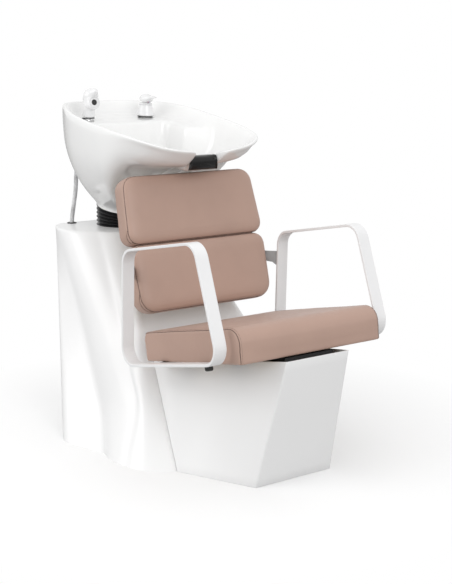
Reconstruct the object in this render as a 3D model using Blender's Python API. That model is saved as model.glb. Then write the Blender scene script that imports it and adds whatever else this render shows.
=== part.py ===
"""Shampoo backwash unit: a fixed seat and back in front of a pedestal that carries a tilting ceramic basin.

Metres, +Z up, -Y is the front.  The origin is on the floor, in the middle of the unit's length and width.
All coordinates below are measured from the working origin, which MIDDLE moves to that middle.
"""

import math

import bmesh
import bpy
from mathutils import Matrix, Vector

MIDDLE = Vector((0.0, -0.041, 0.0))
GAP = 0.0003

# Pedestal column: a rounded top that spreads into a faceted foot.
COLUMN_TOP = 0.630
COLUMN_BACK = 0.505
SKIN = 0.006
LEVELS = (0.0, 0.085, 0.17, 0.26, 0.35, 0.44, 0.54, 0.622, 0.630)
BELLOWS_CENTRE = Vector((0.0, 0.365))
TOP_HOLE = 0.088

# Seat, measured in its own sloping plane.
SEAT_SLOPE = math.radians(10.8)
SEAT_REAR = Vector((0.0, -0.143, 0.301))
SEAT_DEPTH = 0.482
SEAT_HALF = 0.250
SEAT_REAR_HEIGHT = 0.087
SEAT_FRONT_HEIGHT = 0.100
BOARD = 0.012

# Steel frame on the floor and the posts on it.
FRAME_TALL = 0.024
POST_TOP = 0.600

# Opening in the column's rear wall for the service panel.
PANEL_HALF = 0.120
PANEL_LOW = 0.080
PANEL_HIGH = 0.480
PANEL_CLEAR = 0.002

# Back cushions, measured in their own leaning plane from the joint between them.
BACK_LEAN = math.radians(17.0)
BACK_JOINT = Vector((0.0, -0.070, 0.638))
CUSHION_THICK = 0.070
CUSHION_GAP = 0.003
UPPER_HEIGHT = 0.208
LOWER_HEIGHT = 0.206
UPPER_CORNERS = (0.034, 0.034, 0.042, 0.042)
LOWER_CORNERS = (0.050, 0.050, 0.034, 0.034)

# Armrests: closed loops of flat bar.
ARM_OUTER = 0.307
ARM_WIDTH = 0.040
ARM_THICK = 0.008
ARM_CORNERS = ((-0.108, 0.637), (-0.096, 0.282), (-0.590, 0.391), (-0.474, 0.708))
ARM_RADIUS = 0.052
BRACKET_LEVELS = (0.5415, 0.5735)
BRACKET_PLAN = (
    (0.2265, -0.0040, 0.0), (0.2435, -0.0140, 0.0), (0.2455, -0.0200, 0.0), (0.2455, -0.0760, 0.0),
    (0.2600, -0.0945, 0.003), (0.2672, -0.1034, 0.012), (0.2790, -0.1034, 0.012), (0.2640, -0.0905, 0.003),
    (0.2505, -0.0740, 0.0), (0.2505, -0.0180, 0.0), (0.2460, -0.0100, 0.0), (0.2300, 0.0005, 0.0),
)
BRACKET_STRAP = (0.1505, 0.2320)
CARRIER_CLEAR = 0.0015

# Basin and its tilt joint.
TILT_AXIS = Vector((0.0, 0.390, 0.700))
PIN_RADIUS = 0.006
FOOT_RADIUS = 0.100
FOOT_INNER = 0.085
FOOT_SLOPE = 0.18
FOOT_LEVEL = 0.6875
DRAIN = Vector((0.0, 0.305))
DRAIN_RADIUS = 0.018
RIM = (
    (0.000, 0.552, 1.030), (0.090, 0.540, 1.030), (0.158, 0.495, 1.028), (0.200, 0.415, 1.024),
    (0.228, 0.350, 1.015), (0.243, 0.285, 1.004), (0.248, 0.200, 0.990), (0.246, 0.110, 0.976),
    (0.240, 0.040, 0.965), (0.229, -0.020, 0.955), (0.214, -0.072, 0.944), (0.186, -0.110, 0.932),
    (0.145, -0.130, 0.921), (0.105, -0.140, 0.914), (0.078, -0.143, 0.911), (0.060, -0.138, 0.907),
    (0.053, -0.116, 0.897), (0.0505, -0.094, 0.885), (0.040, -0.078, 0.876), (0.020, -0.071, 0.872),
    (0.000, -0.070, 0.871),
)
BASIN_SIDES = 68
WALL = 0.014
SINK_REAR = 0.345
SINK_SIDE = 0.150
SINK_CORNER = 0.030
TAP_X = 0.110
TAP_Y = 0.415
TAP_HOLE = 0.017

# Shower hose, from the sleeve in the deck down into the column.
HOSE_RADIUS = 0.007
HOSE_HOLE = Vector((-0.145, 0.481))
HANDSET_LEAN = math.radians(8)
MIXER_LEAN = math.radians(4)

WHITE = (0.90, 0.90, 0.90, 1.0)
CERAMIC = (0.93, 0.93, 0.93, 1.0)
VINYL = (0.46, 0.30, 0.25, 1.0)
BLACK = (0.015, 0.015, 0.015, 1.0)
STEEL = (0.05, 0.05, 0.05, 1.0)
GREY = (0.45, 0.46, 0.47, 1.0)
WOOD = (0.55, 0.40, 0.24, 1.0)


def clear_scene():
    for old in list(bpy.data.objects):
        bpy.data.objects.remove(old, do_unlink=True)


def material(name, colour, roughness, metallic=0.0):
    made = bpy.data.materials.new(name)
    made.use_nodes = True
    shader = made.node_tree.nodes["Principled BSDF"]
    shader.inputs["Base Color"].default_value = colour
    shader.inputs["Roughness"].default_value = roughness
    shader.inputs["Metallic"].default_value = metallic
    return made


# ---------------------------------------------------------------- building blocks


def solid(name, verts, faces, look, origin=(0, 0, 0)):
    """One object from world-space points, with its origin at the given point."""
    origin = Vector(origin)
    mesh = bpy.data.meshes.new(name)
    mesh.from_pydata([Vector(v) - origin for v in verts], [], faces)
    work = bmesh.new()
    work.from_mesh(mesh)
    bmesh.ops.recalc_face_normals(work, faces=work.faces)
    work.to_mesh(mesh)
    work.free()
    mesh.shade_smooth()
    mesh.set_sharp_from_angle(angle=math.radians(32))
    made = bpy.data.objects.new(name, mesh)
    made.location = origin - MIDDLE
    bpy.context.collection.objects.link(made)
    if look is not None:
        mesh.materials.append(material(name, *look))
    return made


def loft(name, rings, look, origin=(0, 0, 0), looped=False):
    """Skin equal rings of points; looped joins the last ring to the first, otherwise both ends are capped."""
    count = len(rings[0])
    verts = [point for ring in rings for point in ring]
    faces = []
    spans = len(rings) if looped else len(rings) - 1
    for i in range(spans):
        here = i * count
        there = ((i + 1) % len(rings)) * count
        for j in range(count):
            k = (j + 1) % count
            faces.append((here + j, here + k, there + k, there + j))
    if not looped:
        faces.append(tuple(range(count)))
        faces.append(tuple(range(len(verts) - 1, len(verts) - 1 - count, -1)))
    return solid(name, verts, faces, look, origin)


def frame_of(slope=0.0, at=(0, 0, 0)):
    """A frame turned about X by slope, standing at a point."""
    return Matrix.Translation(Vector(at)) @ Matrix.Rotation(slope, 4, "X")


def box(name, low, high, look, frame=None, origin=(0, 0, 0)):
    """A block between two corners of a frame."""
    frame = frame or Matrix.Identity(4)
    rings = []
    for z in (low[2], high[2]):
        corners = ((low[0], low[1]), (high[0], low[1]), (high[0], high[1]), (low[0], high[1]))
        rings.append([frame @ Vector((x, y, z)) for x, y in corners])
    return loft(name, rings, look, origin)


def prism(name, outline, low, high, look, to_world, origin=(0, 0, 0)):
    """Extrude a flat outline from low to high; to_world turns (a, b, depth) into a point."""
    rings = [[to_world(a, b, depth) for a, b in outline] for depth in (low, high)]
    return loft(name, rings, look, origin)


def along_x(a, b, depth):
    return Vector((depth, a, b))


def along_y(a, b, depth):
    return Vector((a, depth, b))


def turned(name, profile, sides, look, frame, origin=(0, 0, 0), hollow=False):
    """Turn (radius, height) points about the frame's Z axis; a hollow profile closes on itself."""
    rings = []
    for radius, height in profile:
        ring = []
        for j in range(sides):
            turn = 2 * math.pi * j / sides
            ring.append(frame @ Vector((radius * math.cos(turn), radius * math.sin(turn), height)))
        rings.append(ring)
    return loft(name, rings, look, origin, looped=hollow)


def cut(target, cutter, operation="DIFFERENCE"):
    """Boolean one object with a helper that isn't part of the model."""
    cutter.hide_render = True
    cutter.display_type = "WIRE"
    step = target.modifiers.new(operation.lower(), "BOOLEAN")
    step.operation = operation
    step.solver = "EXACT"
    step.object = cutter


def rounded(corners, radii, steps):
    """A closed outline through corners, each rounded by an arc of its own radius."""
    outline = []
    count = len(corners)
    for i in range(count):
        here = Vector(corners[i])
        radius = radii[i]
        back = (Vector(corners[i - 1]) - here).normalized()
        ahead = (Vector(corners[(i + 1) % count]) - here).normalized()
        half = back.angle(ahead) / 2
        middle = here + (back + ahead).normalized() * (radius / math.sin(half))
        start = here + back * (radius / math.tan(half))
        end = here + ahead * (radius / math.tan(half))
        first = start - middle
        sweep = first.angle_signed(end - middle)
        for k in range(steps + 1):
            outline.append(tuple(middle + Matrix.Rotation(-sweep * k / steps, 2) @ first))
    return outline


def spline(points, count, closed):
    """Points evenly spread along a smooth curve through the given ones."""
    total = len(points)
    fine = []
    spans = total if closed else total - 1
    for i in range(spans):
        near = []
        for k in (-1, 0, 1, 2):
            index = (i + k) % total if closed else min(max(i + k, 0), total - 1)
            near.append(Vector(points[index]))
        a, b, c, d = near
        for k in range(12):
            t = k / 12
            curve = b * 2 + (c - a) * t + (a * 2 - b * 5 + c * 4 - d) * t**2 + (b * 3 - a - c * 3 + d) * t**3
            fine.append(curve * 0.5)
    fine.append(fine[0] if closed else Vector(points[-1]))
    lengths = [0.0]
    for before, after in zip(fine, fine[1:]):
        lengths.append(lengths[-1] + (after - before).length)
    spread = []
    steps = count if closed else count - 1
    at = 0
    for k in range(count):
        goal = lengths[-1] * k / steps
        while at < len(lengths) - 2 and lengths[at + 1] < goal:
            at += 1
        share = (goal - lengths[at]) / max(lengths[at + 1] - lengths[at], 1e-9)
        spread.append(fine[at].lerp(fine[at + 1], share))
    return spread


def between(stations, values, at):
    """Linear look-up of a value along increasing stations."""
    if at <= stations[0]:
        return values[0]
    for i in range(1, len(stations)):
        if at <= stations[i]:
            share = (at - stations[i - 1]) / (stations[i] - stations[i - 1])
            return values[i - 1] + (values[i] - values[i - 1]) * share
    return values[-1]


def ease(low, high, at):
    """0 below low, 1 above high, smooth between."""
    share = min(max((at - low) / (high - low), 0.0), 1.0)
    return share * share * (3 - 2 * share)


# ---------------------------------------------------------------- pedestal

# Each crease of the column as (height, x, y), on its left side.
FOOT_CORNER = ((0.0, -0.381, 0.146), (0.630, -0.203, 0.486))
REAR_CREASE = ((0.0, -0.331, -0.029), (0.113, -0.291, 0.051), (0.35, -0.258, 0.221), (0.630, -0.236, 0.415))
MID_CREASE = ((0.0, -0.337, -0.160), (0.163, -0.262, -0.118), (0.248, -0.246, -0.045), (0.39, -0.214, 0.066),
              (0.630, -0.172, 0.266))
FRONT_CREASE = ((0.0, -0.283, -0.258), (0.163, -0.245, -0.155), (0.31, -0.215, -0.050), (0.40, -0.183, 0.013),
                (0.630, -0.090, 0.200))
INNER_CREASE = ((0.0, -0.241, -0.289), (0.285, -0.186, -0.078), (0.40, -0.160, 0.014), (0.630, -0.045, 0.188))
STEPS_BETWEEN = (3, 3, 7, 6, 2, 3)


def crease_at(crease, level):
    heights = [point[0] for point in crease]
    x = between(heights, [point[1] for point in crease], level)
    y = between(heights, [point[2] for point in crease], level)
    return Vector((x, y))


def column_outline(level):
    """The column's outline at a height, as its left half from the back to the front."""
    front = crease_at(INNER_CREASE, level).y
    keys = [
        Vector((0.0, COLUMN_BACK)),
        Vector((-0.180, COLUMN_BACK)),
        crease_at(FOOT_CORNER, level),
        crease_at(REAR_CREASE, level),
        crease_at(MID_CREASE, level),
        crease_at(FRONT_CREASE, level),
        crease_at(INNER_CREASE, level),
        Vector((0.0, front)),
    ]
    share = level / COLUMN_TOP
    middle = 0.014 - 0.03 * share * (1 - share)
    swell = (0.0, 0.0, 0.004 * share, 0.012 + 0.013 * share**2, middle, 0.002, 0.0)
    steps = (2,) + STEPS_BETWEEN
    outline = []
    for i in range(len(keys) - 1):
        a, b = keys[i], keys[i + 1]
        along = b - a
        out = Vector((along.y, -along.x)).normalized()
        for k in range(steps[i]):
            t = k / steps[i]
            outline.append(a + along * t + out * (4 * swell[i] * t * (1 - t)))
    outline.append(keys[-1])
    return outline


def both_halves(half):
    """Mirror a left half outline, whose ends lie on X = 0, into a closed ring."""
    mirrored = [Vector((-p.x, p.y)) for p in reversed(half[1:-1])]
    return list(half) + mirrored


def inset(ring, amount):
    """Move every point of a flat ring inwards by amount."""
    count = len(ring)
    middle = sum(ring, Vector((0, 0))) / count
    moved = []
    for i in range(count):
        along = ring[(i + 1) % count] - ring[i - 1]
        side = Vector((-along.y, along.x)).normalized()
        if side.dot(middle - ring[i]) < 0:
            side = -side
        moved.append(ring[i] + side * amount)
    return moved


def column_shell():
    """The moulded column: one skin with a round hole in its top and an opening in its rear."""
    hole = []
    top = both_halves(column_outline(COLUMN_TOP))
    for p in top:
        hole.append(BELLOWS_CENTRE + (p - BELLOWS_CENTRE).normalized() * TOP_HOLE)
    rings = [[Vector((p.x, p.y, COLUMN_TOP)) for p in hole]]
    for level in reversed(LEVELS):
        ring = both_halves(column_outline(min(level, LEVELS[-2])))
        if level == COLUMN_TOP:
            ring = inset(ring, SKIN)
        rings.append([Vector((p.x, p.y, level)) for p in ring])
    for level in LEVELS[:-1]:
        ring = inset(both_halves(column_outline(level)), SKIN)
        rings.append([Vector((p.x, p.y, level)) for p in ring])
    rings[-1] = [Vector((p.x, p.y, COLUMN_TOP - SKIN)) for p in rings[-1]]
    rings.append([Vector((p.x, p.y, COLUMN_TOP - SKIN)) for p in hole])
    shell = loft("column_shell", rings, (WHITE, 0.35), looped=True)
    behind = COLUMN_BACK + 0.02
    door = box("column_door_cutter", (-PANEL_HALF, 0.47, PANEL_LOW), (PANEL_HALF, behind, PANEL_HIGH), None)
    cut(shell, door)
    notch = box("column_notch_cutter", (-0.104, -0.400, -0.01), (0.104, -0.150, 0.028), None)
    cut(shell, notch)
    drop = frame_of(at=(HOSE_HOLE.x, HOSE_HOLE.y, COLUMN_TOP))
    bore = turned("column_hose_cutter", ((0.011, -0.02), (0.011, 0.02)), 20, None, drop)
    cut(shell, bore)


def service_panel():
    """The lift-off panel in the rear opening, with a finger slot."""
    low = (-PANEL_HALF + PANEL_CLEAR, COLUMN_BACK - SKIN, PANEL_LOW + PANEL_CLEAR)
    high = (PANEL_HALF - PANEL_CLEAR, COLUMN_BACK - 0.0005, PANEL_HIGH - PANEL_CLEAR)
    panel = box("service_panel", low, high, (WHITE, 0.35))
    slot = box("panel_slot_cutter", (-0.04, 0.47, 0.44), (0.04, 0.53, 0.455), None)
    cut(panel, slot)


COWL_REAR = (INNER_CREASE[0], INNER_CREASE[1])
COWL_FRONT = ((0.0, -0.139, -0.531), (0.384, -0.112, -0.634))
COWL_LEVELS = 5


def front_cowl():
    """The U-shaped cover under the seat, open at the top, butted against the column's front."""
    heights = [k / (COWL_LEVELS - 1) for k in range(COWL_LEVELS)]
    rings = []
    for share in heights:
        rear_level = share * COWL_REAR[1][0]
        front_level = share * COWL_FRONT[1][0]
        rear = crease_at(COWL_REAR, rear_level)
        front = crease_at(COWL_FRONT, front_level)
        rear = Vector((rear.x, rear.y - 0.003, rear_level))
        corner = Vector((front.x, front.y, front_level))
        half = [rear.lerp(corner, t) for t in (0.0, 0.35, 0.7, 0.96)]
        half += [corner + Vector((0.008, 0.0, 0.0)), Vector((0.0, corner.y, corner.z))]
        inner = []
        for i, p in enumerate(half):
            if i < 4:
                shift = Vector((SKIN, SKIN * 0.45 if i == 3 else 0.0, 0.0))
            else:
                shift = Vector((0.0, SKIN, 0.0))
            inner.append(p + shift)
        mirror = Matrix.Scale(-1, 4, Vector((1, 0, 0)))
        outer_ring = half + [mirror @ p for p in reversed(half[:-1])]
        inner_ring = [mirror @ p for p in inner[:-1]] + list(reversed(inner))
        rings.append(outer_ring + inner_ring)
    loft("front_cowl", rings, (WHITE, 0.35))


def floor_frame():
    """A ladder of steel flat on the floor inside the pedestal."""
    ladder = box("floor_frame", (-0.085, -0.500, 0.0), (0.085, 0.470, FRAME_TALL), (STEEL, 0.5, 0.6))
    for i, (near, far) in enumerate(((-0.470, -0.160), (-0.130, 0.140), (0.170, 0.340))):
        hole = box(f"floor_bay_{i}", (-0.055, near, -0.01), (0.055, far, 0.04), None)
        cut(ladder, hole)


def posts():
    """The rear post under the basin and the two front posts under the seat frame."""
    low = FRAME_TALL + GAP
    box("rear_post", (-0.030, 0.355, low), (0.030, 0.425, POST_TOP), (STEEL, 0.5, 0.6))
    for side, x in (("left", -0.070), ("right", 0.070)):
        base = Vector((x, -0.440, 0.0))
        top = seat_point(x, 0.300, -0.036)
        corners = [(-0.014, -0.014), (0.014, -0.014), (0.014, 0.014), (-0.014, 0.014)]
        lower = [Vector((x + a, base.y + b, low)) for a, b in corners]
        upper = []
        for a, b in corners:
            reach = base.y + b - top.y
            upper.append(Vector((x + a, base.y + b, top.z - math.tan(SEAT_SLOPE) * reach)))
        loft(f"front_post_{side}", [lower, upper], (STEEL, 0.5, 0.6))


# ---------------------------------------------------------------- seat


def seat_point(x, forward, up):
    """A point in the seat's sloping plane: forward from its rear edge, up from its underside."""
    slope = SEAT_SLOPE
    y = SEAT_REAR.y - forward * math.cos(slope) + up * math.sin(slope)
    z = SEAT_REAR.z + forward * math.sin(slope) + up * math.cos(slope)
    return Vector((x, y, z))


def seat_prism(name, outline, half, look):
    return prism(name, outline, -half, half, look, lambda a, b, depth: seat_point(depth, a, b))


def seat():
    """Upholstered seat with a rounded front edge, on its board."""
    front = SEAT_DEPTH
    outline = [(0.0, GAP), (0.0, SEAT_REAR_HEIGHT - 0.014), (0.012, SEAT_REAR_HEIGHT)]
    outline.append((0.240, 0.096))
    round_over = 0.042
    for k in range(7):
        turn = math.radians(90 - 84 * k / 6)
        a = front - round_over * (1 - math.cos(turn))
        b = SEAT_FRONT_HEIGHT - round_over * (1 - math.sin(turn))
        outline.append((a, b))
    outline.append((front - 0.004, GAP))
    cushion = seat_prism("seat_cushion", outline, SEAT_HALF, (VINYL, 0.45))
    edge = cushion.modifiers.new("soft_edges", "BEVEL")
    edge.width = 0.006
    edge.segments = 2
    edge.limit_method = "ANGLE"
    edge.angle_limit = math.radians(50)
    recess = seat_prism("seat_recess_cutter", [(0.012, -0.02), (0.012, BOARD + GAP), (0.462, BOARD + GAP),
                                               (0.462, -0.02)], 0.236, None)
    cut(cushion, recess)
    board = [(0.014, 0.0), (0.014, BOARD), (0.460, BOARD), (0.460, 0.0)]
    seat_prism("seat_board", board, 0.234, (WOOD, 0.7))


def seat_steel():
    """Steel under the seat: the ladder frame, the two bars that carry the armrests, and their bolt caps."""
    low, high = -0.036, -0.0055
    outline = [(0.030, low), (0.030, high), (0.455, high), (0.455, low)]
    frame = seat_prism("seat_frame", outline, 0.085, (STEEL, 0.5, 0.6))
    window = [(0.060, low - 0.02), (0.060, high + 0.02), (0.425, high + 0.02), (0.425, low - 0.02)]
    cut(frame, seat_prism("seat_window_cutter", window, 0.055, None))
    for name, forward in (("arm_bar_rear", 0.100), ("arm_bar_front", 0.312)):
        bar = [(forward - 0.020, -0.0052), (forward - 0.020, -GAP), (forward + 0.020, -GAP),
               (forward + 0.020, -0.0052)]
        seat_prism(name, bar, 0.266, (STEEL, 0.5, 0.6))
    for side, x in (("left", -0.240), ("right", 0.240)):
        place = frame_of(-SEAT_SLOPE, seat_point(x, 0.312, -0.0055))
        turned(f"arm_bolt_{side}", ((0.010, -0.014), (0.012, -0.011), (0.012, 0.0)), 16, (BLACK, 0.4), place)


def armrests():
    """Closed loops of flat bar, one each side."""
    outer = rounded(ARM_CORNERS, [ARM_RADIUS] * 4, 10)
    count = len(outer)
    for side, sign in (("left", -1), ("right", 1)):
        rings = []
        for i in range(count):
            here = Vector(outer[i])
            along = Vector(outer[(i + 1) % count]) - Vector(outer[i - 1])
            inward = Vector((-along.y, along.x)).normalized()
            centre = Vector((-0.320, 0.490))
            if inward.dot(centre - here) < 0:
                inward = -inward
            ring = []
            edge = 0.0012
            far = ARM_OUTER
            near = ARM_OUTER - ARM_WIDTH
            for x, depth in ((far, edge), (far - edge, 0.0), (near + edge, 0.0), (near, edge),
                             (near, ARM_THICK - edge), (near + edge, ARM_THICK),
                             (far - edge, ARM_THICK), (far, ARM_THICK - edge)):
                p = here + inward * depth
                ring.append(Vector((sign * x, p.x, p.y)))
            rings.append(ring)
        loft(f"armrest_{side}", rings, (WHITE, 0.4), looped=True)


# ---------------------------------------------------------------- back


def back_point(x, up, behind):
    """A point in the back's leaning plane: up from the joint of the cushions, behind their front faces."""
    lean = BACK_LEAN
    y = BACK_JOINT.y + up * math.sin(lean) + behind * math.cos(lean)
    z = BACK_JOINT.z + up * math.cos(lean) - behind * math.sin(lean)
    return Vector((x, y, z))


def back_cushion(name, low, high, half_low, half_high, radii):
    """A rounded pad: full outline at the back, drawn in towards its front face."""
    rings = []
    for depth, pull in ((CUSHION_THICK, 0.004), (CUSHION_THICK - 0.006, 0.0), (0.014, 0.0), (0.005, 0.005),
                        (0.0, 0.016)):
        corners = ((-half_low + pull, low + pull), (half_low - pull, low + pull),
                   (half_high - pull, high - pull), (-half_high + pull, high - pull))
        outline = rounded(corners, [radius - pull * 0.6 for radius in radii], 6)
        rings.append([back_point(x, up, depth) for x, up in outline])
    loft(name, rings, (VINYL, 0.45))


def back():
    back_cushion("back_cushion_upper", CUSHION_GAP, UPPER_HEIGHT, 0.249, 0.235, UPPER_CORNERS)
    back_cushion("back_cushion_lower", -LOWER_HEIGHT, -CUSHION_GAP, 0.240, 0.247, LOWER_CORNERS)
    board_front = CUSHION_THICK + GAP
    board_back = board_front + BOARD
    for name, low, high in (("back_board_upper", 0.025, UPPER_HEIGHT - 0.022),
                            ("back_board_lower", -LOWER_HEIGHT + 0.022, -0.025)):
        outline = rounded(((-0.215, low), (0.215, low), (0.210, high), (-0.210, high)), [0.030] * 4, 3)
        prism(name, outline, board_front, board_back, (WOOD, 0.7), back_point)
    rail_front = board_back + GAP
    rail_back = rail_front + 0.006
    for side, x in (("left", -0.130), ("right", 0.130)):
        outline = ((x - 0.020, -0.175), (x + 0.020, -0.175), (x + 0.020, 0.175), (x - 0.020, 0.175))
        prism(f"back_upright_{side}", outline, rail_front, rail_back, (GREY, 0.45, 0.4), back_point)
    cross_front = rail_back + GAP
    cross_back = cross_front + 0.006
    low, high = -0.095, -0.055
    outline = ((-0.150, low), (0.150, low), (0.150, high), (-0.150, high))
    prism("back_crossbar", outline, cross_front, cross_back, (GREY, 0.45, 0.4), back_point)
    back_carrier(cross_back + GAP, low, high)
    for side, sign in (("left", -1), ("right", 1)):
        arm_bracket(side, sign, rail_front)


def back_carrier(behind, low, high):
    """Steel arm from the column's front wall to the crossbar behind the lower cushion."""
    corners = []
    for up in (low, high):
        near = back_point(0, up, behind)
        corners.append((near.y, near.z))
    wall = []
    for level in (corners[1][1] + 0.010, corners[0][1] - 0.030):
        wall.append((crease_at(INNER_CREASE, level).y - CARRIER_CLEAR, level))
    outline = [corners[0], corners[1]] + wall
    half = 0.040
    prism("back_carrier", outline, -half, half, (GREY, 0.45, 0.4), along_x)


def arm_bracket(side, sign, rail_front):
    """Bent plate from behind the lower board, round the cushion's edge, to the rear of the armrest's leg."""
    low, high = BRACKET_LEVELS
    lower = []
    upper = []
    for out, y, drop in BRACKET_PLAN:
        lower.append(Vector((sign * out, y, low - drop)))
        upper.append(Vector((sign * out, y, high)))
    plate = loft(f"arm_bracket_{side}", [lower, upper], (GREY, 0.45, 0.4))
    ends = sorted((sign * BRACKET_STRAP[0], sign * BRACKET_STRAP[1]))
    outline = ((ends[0], -0.078), (ends[1], -0.078), (ends[1], -0.044), (ends[0], -0.044))
    strap = prism(f"bracket_strap_{side}", outline, rail_front, rail_front + 0.005, None, back_point)
    cut(plate, strap, "UNION")


# ---------------------------------------------------------------- basin


def rim_loop():
    """The rim's outer edge as a closed ring, starting at the back and running over the right side."""
    right = [Vector(p) for p in RIM]
    left = [Vector((-p.x, p.y, p.z)) for p in reversed(right[1:-1])]
    return spline(right + left, BASIN_SIDES, closed=True)


def foot_point(rim, radius, lift=0.0):
    """The point of the foot's sloping ring that lies below a rim point."""
    away = (Vector((rim.x, rim.y)) - BELLOWS_CENTRE).normalized()
    spot = BELLOWS_CENTRE + away * radius
    return Vector((spot.x, spot.y, FOOT_LEVEL + FOOT_SLOPE * (spot.y - BELLOWS_CENTRE.y) + lift))


def floor_level(y):
    """Height of the bowl's inner floor along its length."""
    return between((-0.130, -0.060, 0.0, 0.070, 0.120, 0.200, 0.280, 0.330),
                   (0.888, 0.878, 0.871, 0.864, 0.850, 0.820, 0.804, 0.802), y)


def deck_level(y):
    """The tap deck, and the ledges that run forward from it on both sides."""
    return between((0.180, 0.220, 0.260, 0.320, 0.380, 0.415, 0.560),
                   (0.936, 0.948, 0.956, 0.964, 0.971, 0.975, 0.986), y)


def inside_sink(x, y):
    """How far a point lies inside the deep part's outline; negative is outside."""
    across = abs(x) - (SINK_SIDE - SINK_CORNER)
    back = y - (SINK_REAR - SINK_CORNER)
    if across > 0 and back > 0:
        return SINK_CORNER - math.hypot(across, back)
    return min(SINK_CORNER - across, SINK_CORNER - back)


def sink_edge(start, goal):
    """The share of the way from start to goal at which the line enters the deep part."""
    low, high = 0.0, 1.0
    if inside_sink(start.x, start.y) > 0:
        return 0.0
    for _ in range(24):
        middle = (low + high) / 2
        spot = start + (goal - start) * middle
        if inside_sink(spot.x, spot.y) > 0:
            high = middle
        else:
            low = middle
    return high


def front_band(x):
    """Height of the basin's front face below its lip, tallest beside the neck notch."""
    return between((0.050, 0.100, 0.145, 0.190, 0.230), (0.038, 0.028, 0.022, 0.014, 0.020), abs(x))


def outer_ring(loop, station):
    """One ring of the outside: station 0 is at the rim and 9 at the foot."""
    side_drop = (0.0, 0.08, 0.16, 0.30, 0.43, 0.58, 0.72, 0.83, 0.925, 1.0)[station]
    side_draw = (0.0, -0.010, -0.006, 0.012, 0.05, 0.18, 0.36, 0.57, 0.79, 1.0)[station]
    ring = []
    for rim in loop:
        set_back = between((0.050, 0.100, 0.160), (0.125, 0.085, 0.045), abs(rim.x))
        front_draws = (0.0, 0.15 * set_back, set_back, 0.06 + set_back, 0.38, 0.56, 0.78, 0.92, 0.98, 1.0)
        front_draw = front_draws[station]
        foot = foot_point(rim, FOOT_RADIUS, 0.012)
        lip = rim.z - front_band(rim.x)
        tuck = 0.6 * 0.848 + 0.4 * lip
        under = (rim.z, rim.z - 0.010, lip, tuck, 0.848, 0.828, 0.786, 0.746, 0.712, foot.z)
        front = 1.0 - ease(-0.070, 0.120, rim.y)
        draw = side_draw + (front_draw - side_draw) * front
        side_z = rim.z + (foot.z - rim.z) * side_drop
        z = side_z + (under[station] - side_z) * front
        ring.append(Vector((rim.x + (foot.x - rim.x) * draw, rim.y + (foot.y - rim.y) * draw, z)))
    return ring


INNER_STATIONS = 13


def inner_draw(station, edge, span):
    """How far along its line to the drain a station of the deep part lies."""
    if station < 4:
        return min((0.0, 0.03, 0.07, 0.12)[station], edge * station / 5)
    if station < 6:
        return edge - (0.010, 0.003)[station - 4] / span
    rest = (1.0 - edge) * span
    steps = ((0.003, 0.10), (0.008, 0.25), (0.014, 0.45), (0.030, 0.65))
    if station < 10:
        most, share = steps[station - 6]
        return edge + min(most, share * rest) / span
    last = edge + min(steps[3][0], steps[3][1] * rest) / span
    return last + (1.0 - last) * (0.35, 0.65, 0.90)[station - 10]


def inner_ring(loop, station):
    """One ring of the inside: station 0 is at the lip and the last one close to the drain."""
    side_draw = (0.0, 0.02, 0.05, 0.09, 0.14, 0.20, 0.27, 0.35, 0.44, 0.54, 0.65, 0.78, 0.90)[station]
    side_fall = (0.0, 0.12, 0.30, 0.52, 0.72, 0.85, 0.93, 0.97, 0.99, 1.0, 1.0, 1.0, 1.0)[station]
    ring = []
    for rim in loop:
        inward = (DRAIN - Vector((rim.x, rim.y))).normalized()
        start = Vector((rim.x, rim.y)) + inward * WALL
        goal = DRAIN - inward * (DRAIN_RADIUS + 0.001)
        rear = ease(0.135, 0.190, rim.y)
        span = max((goal - start).length, 0.02)
        rear_draw = inner_draw(station, max(0.20, sink_edge(start, goal)), span)
        draw = side_draw + (rear_draw - side_draw) * rear
        spot = start + (goal - start) * draw
        low = floor_level(spot.y)
        side_z = rim.z + (low - rim.z) * side_fall
        deck = deck_level(spot.y)
        rear_z = (rim.z, rim.z - 0.014, deck + 0.012, deck + 0.003, deck + 0.001, deck - 0.002, deck - 0.012,
                  0.6 * deck + 0.4 * low, 0.2 * deck + 0.8 * low, low + 0.003, low, low, low)[station]
        z = side_z + (rear_z - side_z) * rear
        ring.append(Vector((spot.x, spot.y, z)))
    return ring


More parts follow.
